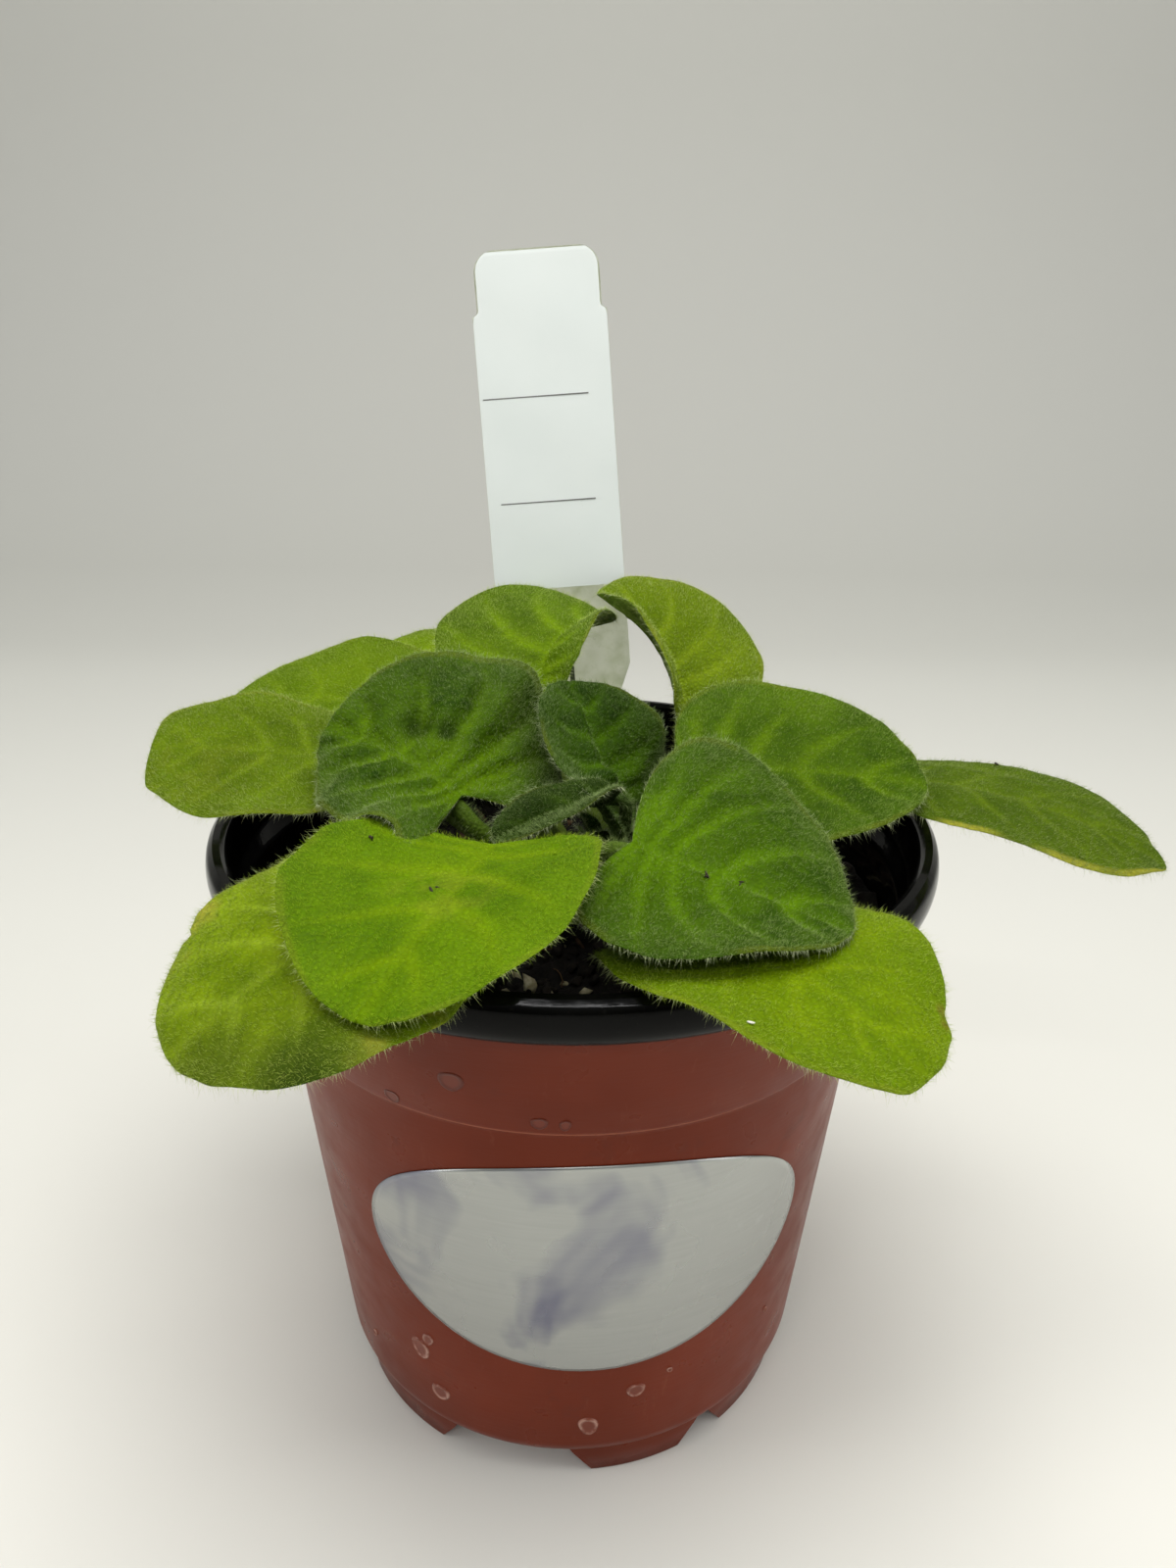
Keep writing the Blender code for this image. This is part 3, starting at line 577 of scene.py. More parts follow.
def relief(p, look, x, y, t, s, seed):
    """Height of the upper face above the plain blade, and the colour masks."""
    rng = np.random.default_rng(seed)
    size = min(1.0, p["L"] / FULL_LENGTH)
    flat = np.stack([x, y], -1)
    rim = np.abs(s)
    vw = look["veinw"] * size
    ribs = bell(y, 0, 0.9 * size) * (1 - 0.7 * t)
    veins = bell(y, 0, vw * 0.9) * (1 - 0.6 * t)
    nearest = np.abs(y)
    wander = x + 0.35 * noise(flat, 4.0, seed + 5)
    for q in vein_lines(p, look, rng):
        d, place = line_distance(wander, y, q)
        veins = np.maximum(veins, bell(d, 0, vw * (0.85 - 0.45 * place)) * (1 - 0.75 * place ** 2) * 0.9)
        ribs = np.maximum(ribs, bell(d, 0, 0.5 * size) * (1 - place) * 0.6)
        nearest = np.minimum(nearest, d + 1.1 * place ** 3)
    height = look["quilt"] * size * (smooth(0.0, 2.6 * size, nearest) - 0.6) * (1 - rim ** 5)
    if look.get("long"):                                   # long parallel ribs
        w = noise(np.stack([y, x * 0.10], -1), 2.6, seed + 3)
        height += look["long"] * w
        veins = np.maximum(veins, smooth(0.3, 0.9, -w) * 0.6)
    net = cell_edges(x + 0.25 * np.abs(y), y, 2.5 * size, rng)
    height += look["net"] * (net - 0.6) * (1 - rim ** 8)
    veins = np.clip(veins + 0.16 * (1 - net) * (1 - rim ** 6) * (look["net"] / 0.12), 0, 1)
    height -= 0.38 * size * bell(y, 0, 0.8 * size) * (1 - t) ** 0.6 * smooth(0.0, 0.12, t)
    height += 0.30 * size * noise(flat, 8.0, seed, 2) * smooth(0.0, 0.4, rim) + 0.05 * noise(flat, 1.3, seed + 1)
    height += 0.25 * size * noise(np.stack([t * 40, s * 3], -1), 4.5, seed + 2) * rim ** 4

    def at(tt, ss):
        return flat.reshape(-1, 2)[np.argmin((t - tt) ** 2 + (s - ss) ** 2)]

    def near(tt, ss, r):
        cx, cy = at(tt, ss)
        return bell(np.hypot(x - cx, y - cy), 0, r)

    def marks(key):
        return ((near(tt, ss, r), amount) for tt, ss, r, amount in look.get(key, ()))

    dark, brown = np.zeros_like(x), np.zeros_like(x)
    # hollows are pressed in and also darkened with painted shade
    for h, depth in marks("hollows"):
        height -= depth * h
        dark = np.maximum(dark, 0.75 * h)
    for h, depth in marks("shade"):
        dark = np.maximum(dark, depth * h)
    for start, end, w, h in look.get("ridges", ()):
        height += h * bell(line_distance(x, y, np.array([at(*start), at(*end)]))[0], 0, w)
    band = smooth(0.90, 0.95, -s) * smooth(0.1, 0.25, t) if "rim" in look else smooth(0.93, 0.97, rim)
    yellow = look.get("rim", 0.15) * band * smooth(-0.7, 0.3, noise(flat, 7.0, seed + 7))
    # glow marks are partly the blade's lighter green and partly painted light on places that lie in shade; they join
    # the vein mask
    for h, amount in marks("glow"):
        veins = np.maximum(veins, amount * h * (0.9 + 0.25 * noise(flat, 3.0, seed + 6)))
    rough_edge = 0.65 + 0.5 * noise(flat, 1.6, seed + 8)
    for tt, ss, r, amount in look.get("patch", ()):
        yellow = np.maximum(yellow, amount * smooth(0.15, 0.8, near(tt, ss, r * 1.3) * rough_edge))
    for tt, ss, r in look.get("brown", ()):
        brown = np.maximum(brown, smooth(0.2, 0.8, near(tt, ss, r)))
    haze = look["haze"] * smooth(0.35, 1.0, rim) * (0.75 + 0.35 * noise(flat, 5.0, seed + 9))
    return height, ribs, np.clip(veins, 0, 1), np.clip(yellow, 0, 1), np.clip(haze, 0, 1), dark, brown


def leaf_material(name, look):
    m = Shader(name)
    vein, yellow, haze = m.mask("leaf_marks")
    dark, under, brown = m.mask("leaf_depth")
    grain = m.cells(0.55)
    base = m.mix(srgb(*look["dark"]), srgb(*look["light"]), m.blotch(9.0, 0.36, 0.64, 3.0))
    # the vein mask holds the glow marks too, so this colour is partly painted light
    base = m.mix(base, srgb(*look["vein"]), m.times(vein, 0.8))
    base = m.mix(base, srgb(164, 160, 54), yellow)
    grey = srgb(*(0.7 * c + 0.3 * g for c, g in zip(look["light"], (110, 130, 84))))
    base = m.mix(base, grey, m.times(haze, 0.5))
    base = m.mix(base, m.ramp(grain, (0.0, 1.18), (0.6, 0.74)), 0.6, "MULTIPLY")
    base = m.mix(base, m.ramp(m.noise(2.4, 3.0, 0.6), (0.3, 0.86), (0.7, 1.12)), 0.6, "MULTIPLY")
    # painted shade: the dark mask from the hollows and the shade marks
    base = m.mix(base, srgb(24, 40, 6), dark)
    base = m.mix(base, srgb(104, 84, 34), m.times(brown, 0.6))
    pale = look["under"]
    below = m.mix(srgb(*pale), srgb(*(0.84 * c for c in pale)), m.blotch(3.0, 0.35, 0.65, 3.0))
    base = m.mix(base, below, under)
    m.fixed(Sheen_Weight=0.02, Sheen_Roughness=0.4, Sheen_Tint=(0.80, 0.90, 0.40, 1), Specular_IOR_Level=0.05,
            Subsurface_Weight=0.10, Subsurface_Radius=(0.5, 1.0, 0.1), Subsurface_Scale=0.0009)
    height = m.math("ADD", m.times(grain, -1.0), m.times(m.noise(0.35, 2.0), 0.5))
    return m.done(base, m.ramp(m.noise(1.2, 2.0), (0.3, 0.50), (0.7, 0.66)), m.bump(height, 0.22, 0.8))


def hair_materials(name, look):
    # fringe hairs are paler: partly the hairs' own pale colour, partly painted light for the bright backlit fringe
    edge = (0.35 * c + 0.65 * w for c, w in zip(look["hair"], (222, 228, 188)))
    return [plain(name, srgb(*look["hair"]), Roughness=0.5, Specular_IOR_Level=0.2),
            plain(name + "_edge", srgb(*edge), Roughness=0.5, Specular_IOR_Level=0.3)]


def build_leaf(node, p, look, seed, rows=92, half=38, stalk=True):
    x, y, t, s = flat_grid(p, look, rows, half)
    g = blade_points(p, x, y)
    height, ribs, veins, yellow, haze, dark, brown = relief(p, look, x, y, t, s, seed)
    n = unit(np.cross(np.gradient(g, axis=0), np.gradient(g, axis=1)))
    n[0], n[-1] = unit(n[1].mean(0)), unit(n[-2].mean(0))
    size = min(1.0, p["L"] / FULL_LENGTH)
    from_end = np.minimum(t, 1 - t)
    ends, fade = np.minimum(1, 0.3 + 9 * from_end), np.minimum(1, 10 * from_end)
    half_t = 0.5 * size * (1.05 - 0.4 * np.abs(s)) * np.sqrt(np.clip(1 - np.abs(s) ** 9, 0, 1)) * ends
    top = g + n * (half_t + height * fade)[..., None]
    low = g - n * (half_t + 0.75 * ribs * size * ends * (1 - np.abs(s) ** 6) - 0.85 * height * fade)[..., None]
    for k in (0, -1):
        top[:, k] = low[:, k] = (top[:, k] + low[:, k]) / 2
    inner = lambda a, b: np.concatenate([a[1:-1].reshape(-1, *a.shape[2:]), b[1:-1, 1:-1].reshape(-1, *a.shape[2:]),
                                         ((a + b) / 2)[[0, -1], half]])
    verts = [inner(top, low)]
    count, cols = len(verts[0]), x.shape[1]
    up_id = np.arange((rows - 1) * cols).reshape(rows - 1, cols)
    lo_id = up_id.copy()
    lo_id[:, 1:-1] = up_id.size + np.arange((rows - 1) * (cols - 2)).reshape(rows - 1, cols - 2)
    faces = []
    for ids in (up_id, lo_id[:, ::-1]):
        faces += quads(ids.T)
        faces += [(count - 2, int(a), int(b)) for a, b in zip(ids[0], ids[0, 1:])]
        faces += [(count - 1, int(b), int(a)) for a, b in zip(ids[-1], ids[-1, 1:])]
    under = np.where(np.arange(count) < up_id.size, 0.0, 0.85)
    under[-2:] = 0
    marks = np.stack([inner(veins, veins), inner(yellow, yellow), inner(haze, haze)], -1)
    depth = np.stack([inner(dark, dark), under, inner(brown, brown)], -1)
    path = rad = None
    if stalk:
        path, rad = stalk_path(node, p)
        sv, sf = tube(path, rad, 16, 0.06, seed)
        verts.append(sv)
        faces += [[i + count for i in f] for f in sf]
        root = np.repeat(np.linspace(1, 0, len(path)), 16)
        marks = np.concatenate([marks, np.zeros((len(root), 3))])
        depth = np.concatenate([depth, np.stack([0 * root, 0.9 + 0 * root, 0.35 * root], -1)])
    name = node.replace("leaf_", "")
    own(make_object(name + "_leaf", np.concatenate(verts), faces, [leaf_material(name + "_leaf", look)],
                    {"leaf_marks": marks, "leaf_depth": depth}), *([node] if stalk else []), slot=look["slot"])
    own(hairs(name + "_hairs", look, seed, top, low, n, s, path, rad), slot=look["slot"])


def hairs(name, look, seed, top, low, n, s, path, rad):
    """Short pale hairs on both faces, a fringe round the edge and longer ones on the stalk."""
    rng = np.random.default_rng(seed + 400)
    groups = []                                            # (roots, directions, lengths, radii)
    area = np.linalg.norm(np.cross(top[1:, :-1] - top[:-1, :-1], top[:-1, 1:] - top[:-1, :-1]), axis=-1)
    outward = unit(np.gradient(top, axis=1)) * np.sign(s)[..., None]
    forward = unit(np.gradient(top, axis=0))
    weight = area * (0.45 + 1.1 * np.abs(s[:-1, :-1]) ** 3)
    for grid, sgn, per_mm2 in ((top, 1.0, 5.0 * look["fuzz"]), (low, -1.0, 1.3)):
        total = int(area.sum() * per_mm2)
        k = rng.choice(area.size, total, p=(weight / weight.sum()).ravel())
        i, j = np.unravel_index(k, area.shape)
        u, v = rng.random(total)[:, None], rng.random(total)[:, None]
        pos = ((grid[i, j] * (1 - u) + grid[i + 1, j] * u) * (1 - v)
               + (grid[i, j + 1] * (1 - u) + grid[i + 1, j + 1] * u) * v)
        edge = np.abs(s[i, j])[:, None] ** 3
        d = (n[i, j] * sgn * (0.75 - 0.2 * edge) + outward[i, j] * 0.35 * edge + forward[i, j] * 0.22
             + rng.normal(size=(total, 3)) * 0.32)
        groups.append((pos, d, rng.uniform(0.35, 0.8, total) * (1 + 0.35 * edge[:, 0]),
                       rng.uniform(0.016, 0.028, total)))
    for col, inner in ((0, 3), (-1, -4)):                  # fringe
        edge = top[:, col]
        step = np.linalg.norm(np.diff(edge, axis=0), axis=1)
        total = int(step.sum() * 4.2 * (0.7 + 0.3 * look["fuzz"]))
        k = rng.choice(len(step), total, p=step / step.sum())
        u = rng.random(total)[:, None]
        d = (unit(edge - top[:, inner])[k] + n[k, col] * rng.normal(0, 0.55, total)[:, None]
             + forward[k, col] * rng.normal(0, 0.35, total)[:, None])
        groups.append((edge[k] * (1 - u) + edge[k + 1] * u, d, 0.4 + 1.5 * rng.random(total) ** 1.6,
                       rng.uniform(0.013, 0.021, total)))
    if path is not None:
        tan = unit(np.gradient(path, axis=0))
        total = 900
        k = rng.integers(2, len(path) - 8, total)
        o = rng.normal(size=(total, 3))
        o = unit(o - tan[k] * np.sum(o * tan[k], -1, keepdims=True))
        pos = path[k] + o * rad[k][:, None] + tan[k] * rng.uniform(-0.4, 0.4, total)[:, None]
        groups.append((pos, o + rng.normal(size=(total, 3)) * 0.25, rng.uniform(0.6, 1.5, total),
                       rng.uniform(0.014, 0.024, total)))
    kind = np.concatenate([np.full(len(q[0]), int(k in (2, 3))) for k, q in enumerate(groups)])
    return spikes(name, *map(np.concatenate, zip(*groups)), hair_materials(name, look), kind)


for index, (node, p) in enumerate(LEAVES.items()):
    build_leaf(node, p, LOOKS[node], 11 + index)


# ------------------------------------------------------------------ specks and grains on the leaves
def pebble(rng, size, seed, subdivisions=2, squash=(1, 1, 1), rough=0.25):
    bm = bmesh.new()
    bmesh.ops.create_icosphere(bm, subdivisions=subdivisions, radius=1.0)
    v = np.array([q.co[:] for q in bm.verts])
    f = [tuple(q.index for q in face.verts) for face in bm.faces]
    bm.free()
    v = v * (1 + rough * noise(v + seed * 3.7, 0.9, seed))[:, None] * np.array(squash) * size
    m = np.array(Matrix.Rotation(rng.uniform(0, 2 * pi), 3, Vector(unit(rng.normal(size=3)))))
    return v @ m.T, f


def scatter(name, items, mats, slot, masks=None):
    """One object from many small closed lumps: items are (verts, faces, material index)."""
    verts, faces, idx, base = [], [], [], 0
    for v, f, k in items:
        verts.append(v)
        faces += [tuple(i + base for i in q) for q in f]
        idx += [k] * len(f)
        base += len(v)
    return own(make_object(name, np.concatenate(verts), faces, mats, masks, idx), slot=slot)


def leaf_debris():
    rng = np.random.default_rng(77)
    items = []
    for node, p in LEAVES.items():
        x, y, t, s = flat_grid(p, LOOKS[node], 60, 30)
        lift = blade_frames(p)[-1][12] * 0.6
        for kind, key in ((0, "specks"), (1, "grains")):
            for tt, ss in LOOKS[node].get(key, ()):
                place = blade_points(p, x, y).reshape(-1, 3)[np.argmin((t - tt) ** 2 + (s - ss) ** 2)] + lift
                for q in range(2 - kind):
                    v, f = pebble(rng, rng.uniform(0.18, 0.32), q + 3, 2, (1.9, 0.6, 0.5))
                    items.append((v + place + rng.normal(size=3) * np.array([0.3, 0.3, 0.0]), f, kind))
    bark, white = Shader("bark_speck").fixed(Roughness=0.8), Shader("white_grain").fixed(Roughness=0.85)
    scatter("leaf_specks", items, [
        bark.done(bark.mix(srgb(26, 20, 14), srgb(52, 38, 24), bark.noise(0.5, 3.0))),
        white.done(white.mix(srgb(206, 204, 190), srgb(232, 231, 222), white.noise(0.4, 2.0)))], "potting_mix")


leaf_debris()


# ------------------------------------------------------------------ crown
def make_crown():
    n, seg = 30, 40
    prof = np.array(CROWN_PROFILE, float)
    d = np.concatenate([[0], np.cumsum(np.hypot(*np.diff(prof, axis=0).T))])
    u = np.linspace(0, d[-1], n + 2)[1:-1]
    r, z = (np.interp(u, d, prof[:, k])[:, None] for k in (0, 1))
    w = ring_angles(seg)
    o = np.stack([np.cos(w), np.sin(w), 0 * w], -1)
    c = np.stack(np.broadcast_arrays(r * np.cos(w), r * np.sin(w), z), -1)
    bump = 0.06 * noise(c, 2.6, 3) * r + 0.16 * noise(c, 1.0, 4) - 0.1 * np.abs(np.sin(w * 5 + z * 1.3))
    rings = c + o * (bump * np.minimum(1, r / 3))[..., None] + np.array([*CROWN, 0])
    m = Shader("crown_skin").fixed(Sheen_Weight=0.2, Specular_IOR_Level=0.3)
    col = m.mix(srgb(98, 104, 44), srgb(120, 92, 50), m.blotch(2.2, 0.35, 0.7, 3.0))
    mat = m.done(m.mix(col, m.ramp(m.cells(0.5), (0, 1.1), (0.6, 0.75)), 0.6, "MULTIPLY"),
                 m.ramp(m.noise(0.8), (0.3, 0.55), (0.7, 0.8)), m.bump(m.noise(0.4, 3.0), 0.12, 0.7))
    body = turned(rings, [*CROWN, prof[0, 1]], [*CROWN, prof[-1, 1]])
    own(make_object("crown_body", *body, [mat]), "crown_stem", slot="crown")
    rng = np.random.default_rng(31)
    total = 1500
    a = rng.uniform(0, 2 * pi, total)
    zz = rng.uniform(81, 91, total)
    rr = np.interp(zz, prof[1:, 1], prof[1:, 0])
    o = np.stack([np.cos(a), np.sin(a), rng.uniform(0.0, 0.5, total)], -1)
    roots = np.stack([CROWN[0] + rr * np.cos(a), CROWN[1] + rr * np.sin(a), zz], -1)
    own(spikes("crown_hairs", roots, o + rng.normal(size=(total, 3)) * 0.3, rng.uniform(0.6, 1.4, total),
               rng.uniform(0.015, 0.026, total), [plain("crown_hair", srgb(170, 178, 120), Roughness=0.5)]),
        slot="crown")


BUDS = {
    "bud_one": blade((3.2, -10.6, 90.6), 250, 66, 0, 8.5, (3.0, 3.0), -30, 6, 0, (25, 25), (28, 28),
        (0.1, 1.5, 0), 0.05, 0.1, (90, 250, 1)),
    "bud_two": blade((7.6, -9.4, 90.8), 330, 70, 8, 6.5, (2.4, 2.4), -26, -8, 0, (20, 20), (34, 34),
        (0.1, 1.5, 0), 0.05, 0.1, (90, 330, 1)),
    "bud_three": blade((3.0, -6.2, 90.6), 150, 72, -6, 5.6, (2.0, 2.0), -20, 0, 0, (20, 20), (38, 38),
        (0.1, 1.5, 0), 0.05, 0.1, (90, 150, 1)),
}
make_crown()
for index, (bud, p) in enumerate(BUDS.items()):
    build_leaf(bud, p, dict(LOOKS["leaf_young_small"], fuzz=4.0), 61 + index, rows=40, half=14, stalk=False)


# ------------------------------------------------------------------ pot
POT_OUTSIDE = [(0, 5.0), (30.0, 5.0), (35.4, 5.4), (37.3, 6.3), (38.0, 7.8), (44.1, 69.8), (44.9, 70.6),
               (49.5, 87.4), (51.6, 88.1), (52.7, 89.6), (53.0, 91.6), (52.7, 93.4), (51.8, 94.4)]
POT_INSIDE = [(50.8, 94.5), (50.0, 93.9), (49.7, 92.4), (49.2, 88.0), (48.3, 86.6), (47.6, 85.6),
              (43.8, 71.0), (43.0, 69.4), (36.9, 9.0), (36.0, 7.0), (34.6, 6.2), (0, 6.0)]
COLLAR_FOOT = 5                               # its place in POT_INSIDE
BLACK_FROM, MOULDING_LINE = 87.5, 70.3
FEET = [(-62, -33), (5, 28), (41, 70), (118, 147), (185, 208), (221, 250)]
FOOT_R = (26.0, 35.6)
DRAIN_R, DRAIN_HOLE_R = 21.0, 3.0


def rounded(profile, radius, n=5):
    """Each inner corner of a profile becomes a short curve."""
    pts = np.array(profile, float)
    out = [pts[0]]
    for a, b, c in zip(pts, pts[1:], pts[2:]):
        r = min(radius, 0.45 * np.linalg.norm(a - b), 0.45 * np.linalg.norm(c - b))
        p0, p1 = b + unit(a - b) * r, b + unit(c - b) * r
        out += [(1 - u) ** 2 * p0 + 2 * (1 - u) * u * b + u * u * p1 for u in np.linspace(0, 1, n)]
    return out + [pts[-1]]


def refined(profile, step):
    """The profile with its long stretches cut into steps of about the given length."""
    out = [profile[0]]
    for a, b in zip(profile, profile[1:]):
        n = max(1, int(np.linalg.norm(b - a) / step))
        out += [a + (b - a) * k / n for k in range(1, n + 1)]
    return np.array(out)


def foot_block(a0, a1):
    """Moulded foot with a sloping face, wider where it meets the base."""
    rows = []
    for z, grow, inset, out in ((0, 0, 0.9, 0), (0.35, 0, 0.2, 0.35), (4.2, 4.0, 0, 0.75), (5.6, 5.2, 0, 0.9)):
        a = np.radians(np.linspace(a0 - grow + inset, a1 + grow - inset, 15))
        rows.append([np.stack([r * np.sin(a), -r * np.cos(a), z + 0 * a], -1)
                     for r in (FOOT_R[1] + out, FOOT_R[0] + inset)])
    verts = np.array(rows)
    ids = np.arange(verts.size // 3).reshape(verts.shape[:3])
    return verts.reshape(-1, 3), plate(ids[:, 0], ids[:, 1])


def terracotta():
    m = Shader("terracotta_plastic").fixed(Specular_IOR_Level=0.11)
    base = m.mix(srgb(103, 37, 14), srgb(116, 44, 20), m.blotch(26.0, 0.35, 0.65, 3.0))
    scuff = m.blotch(1.6, 0.60, 0.78, 5.0, 0.7, (1, 1, 0.22))
    base = m.mix(base, srgb(150, 92, 72), m.times(scuff, 0.22))
    stain = m.blotch(7.0, 0.62, 0.74, 4.0, 0.6)
    base = m.mix(base, srgb(84, 38, 26), m.times(stain, 0.35))
    off = m.math("ABSOLUTE", m.math("SUBTRACT", m.axis("Z"), MOULDING_LINE * MM))
    step = m.math("SUBTRACT", 1.0, m.times(off, 2200.0), clamp=True)       # painted highlight: lighter along the collar step, where its ledge catches the top light
    base = m.mix(base, srgb(176, 108, 84), m.times(step, 0.75))
    height = m.math("ADD", m.noise(0.55, 2.0, 0.5, (0.12, 0.12, 1.0)), m.times(m.noise(1.3, 3.0), 0.8))
    return m.done(base, m.ramp(m.noise(5.0, 3.0), (0.3, 0.26), (0.7, 0.40)), m.bump(height, 0.035, 0.5))


def black_plastic():
    m = Shader("black_plastic").fixed(Specular_IOR_Level=0.09)
    base = m.mix(srgb(5, 5, 4), srgb(10, 10, 9), m.blotch(9.0, 0.35, 0.7, 3.0))
    dust = m.blotch(0.9, 0.62, 0.8, 4.0, 0.7)
    base = m.mix(base, srgb(96, 92, 84), m.times(dust, 0.06))
    height = m.math("ADD", m.noise(1.8, 2.0), m.times(m.noise(0.7, 2.0, 0.5, (0.15, 0.15, 1.0)), 0.5))
    return m.done(base, m.ramp(m.noise(3.0, 4.0), (0.3, 0.07), (0.7, 0.14)), m.bump(height, 0.05, 0.45))


def make_pot(seg=256):
    a, b = np.array(POT_INSIDE[COLLAR_FOOT:COLLAR_FOOT + 2])
    ribs = [a + (b - a) * k / 6 + move for k in range(1, 6) for move in ((0.12, 0.5), (-0.12, -0.2))]
    inside = [*POT_INSIDE[:COLLAR_FOOT + 1], *ribs, *POT_INSIDE[COLLAR_FOOT + 1:]]
    line = rounded(POT_OUTSIDE, 1.1) + rounded(inside, 0.6)
    line = refined([q for k, q in enumerate(line) if k == 0 or np.linalg.norm(q - line[k - 1]) > 0.02], 4.0)
    r, z = line[1:-1].T[..., None]
    w = ring_angles(seg)
    r = r * (1 + (0.0016 * np.sin(2 * w + 0.6) + 0.0007 * np.sin(5 * w)) * smooth(60, 92, z))
    rings = np.stack(np.broadcast_arrays(r * np.cos(w), r * np.sin(w), z), -1)
    inner = np.arange(1, len(rings)) >= np.argmax(line[:, 1])
    black = inner | ((z[1:, 0] + z[:-1, 0]) / 2 > BLACK_FROM)
    kinds = np.repeat(np.concatenate([black, [False, True]]), seg).astype(int)
    pot = make_object("nursery_pot", *turned(rings, (0, 0, line[0, 1]), (0, 0, line[-1, 1])),
                      [terracotta(), black_plastic()], face_mats=kinds)
    tools = [(make_object("foot_tool", *foot_block(*ends), []), "UNION") for ends in FEET]
    for k in range(5):
        a = 2 * pi * k / 5 + 0.3
        hole = [(DRAIN_R * cos(a), DRAIN_R * sin(a), h) for h in (3, 8)]
        tools.append((make_object("drain_tool", *tube(hole, (DRAIN_HOLE_R, DRAIN_HOLE_R), 32), []), "DIFFERENCE"))
    for tool, kind in tools:
        m = pot.modifiers.new("cut", "BOOLEAN")
        m.operation, m.solver, m.object = kind, "EXACT", tool
    bpy.context.view_layer.update()
    me = bpy.data.meshes.new_from_object(pot.evaluated_get(bpy.context.evaluated_depsgraph_get()))
    pot.modifiers.clear()
    pot.data = me
    for tool, _ in tools:
        bpy.data.objects.remove(tool, do_unlink=True)
    me.shade_smooth()
    me.set_sharp_from_angle(angle=radians(40))
    own(pot, "pot", slot="pot_plastic")


make_pot()


def pot_radius(z):
    r, height = np.array(POT_OUTSIDE[4:8]).T
    return np.interp(z, height, r)


def on_wall(around, z, lift):
    """Points on the outside of the pot, around in radians from its front."""
    r = pot_radius(z) + lift
    return np.stack([r * np.sin(around), -r * np.cos(around), z], -1)


def disc(front, back):
    """Closed disc from the points of its two sides, in rings from the centre out."""
    return turned(np.concatenate([front[1:], back[:0:-1]]), front[0, 0], back[0, 0], down=True)


def water_marks(n_a=28, n_r=7):
    """Dried drops and rings on the outside of the pot, as (angle, height, radius)."""
    rng = np.random.default_rng(8)
    spots = [(-34, 21.7, 1.7), (-30, 13.6, 1.5), (4, 12.7, 1.6), (14, 19.5, 1.3), (-31.5, 24.6, 1.0)]
    rings = [(-18, 78.3, 1.6), (-30, 71.9, 1.1), (-5, 72.6, 1.0), (-1, 72.4, 0.8)]
    for _ in range(26):
        mark = (rng.uniform(-170, 190), rng.uniform(10, 66), rng.uniform(0.35, 0.9))
        if not (-46 < mark[0] < 54 and 23 < mark[1] < 67):                 # none over the label
            spots.append(mark)
    f, w = np.arange(n_r + 1)[:, None] / n_r, ring_angles(n_a)
    heights = [0.10 + 0.12 * bell(f, 0.86, 0.1) - 0.12 * smooth(0.93, 1.0, f), 0.02 + 0.08 * bell(f, 0.85, 0.09)]
    items = []
    for kind, group in enumerate((spots, rings)):
        for th, z0, r in group:
            rr = r * f * (1 + 0.10 * np.sin(2 * w + th) + 0.06 * np.sin(3 * w))
            z = z0 + rr * np.sin(w) * 1.15
            a = radians(th) + rr * np.cos(w) / pot_radius(z)
            items.append((*disc(on_wall(a, z, heights[kind]), on_wall(a, z, -0.1)), kind))
    tone = np.repeat(bell(np.concatenate([f[1:], f[:0:-1]])[:, 0], 0.82, 0.16), n_a)
    tone = np.tile([*bell(f[0], 0.82, 0.16), *tone, *bell(f[0], 0.82, 0.16)], len(items))
    lime = Shader("lime_mark").fixed(Roughness=0.25, Specular_IOR_Level=0.3)
    crust = lime.ramp(lime.noise(1.6, 3.0, 0.6), (0.40, 0.15), (0.58, 1.0))
    damp = Shader("damp_ring").fixed(Roughness=0.3, Specular_IOR_Level=0.24)
    scatter("water_marks", items, [
        lime.done(lime.mix(srgb(114, 46, 24), srgb(184, 140, 124), lime.times(lime.mask("ring")[0], crust))),
        damp.done(damp.mix(srgb(110, 41, 18), srgb(80, 28, 14), damp.times(damp.mask("ring")[0], 0.8)))],
            "pot_plastic", {"ring": np.stack([tone] * 3, -1)})


water_marks()

# ------------------------------------------------------------------ foil label
STICKER = dict(theta=4.0, z=45.0, half_arc=33.4, half_height=19.7)
WALL_R = 41.7                                 # of the pot behind it


def foil():
    m = Shader("silver_foil").fixed(Metallic=0.85, Specular_IOR_Level=0.5)
    x = m.axis("X")
    across = m.times(m.math("ADD", x, 0.028), 6.0)
    cloud = m.ramp(m.math("ADD", m.noise(20.0, 3.0, 0.55, None, 0.6), across), (0.40, 0.0), (0.58, 1.0))
    base = m.mix(srgb(124, 125, 141), srgb(174, 176, 173), cloud)
    scratch = m.blotch(1.1, 0.60, 0.72, 5.0, 0.75, (0.35, 1.0, 0.22))
    right = m.times(m.math("ADD", x, -0.004), 60.0, clamp=True)
    base = m.mix(base, srgb(226, 228, 226), m.times(m.times(scratch, right), 0.5))
    brush = m.ramp(m.noise(0.45, 3.0, 0.6, (0.05, 0.05, 1.0)), (0.3, 0.93), (0.7, 1.04))
    base = m.mix(base, brush, 0.6, "MULTIPLY")
    rough = m.ramp(m.noise(15.0, 3.0, 0.5, None, 0.4), (0.35, 0.20), (0.65, 0.38))
    return m.done(base, rough, m.bump(m.noise(6.0, 2.0), 0.05, 0.25))


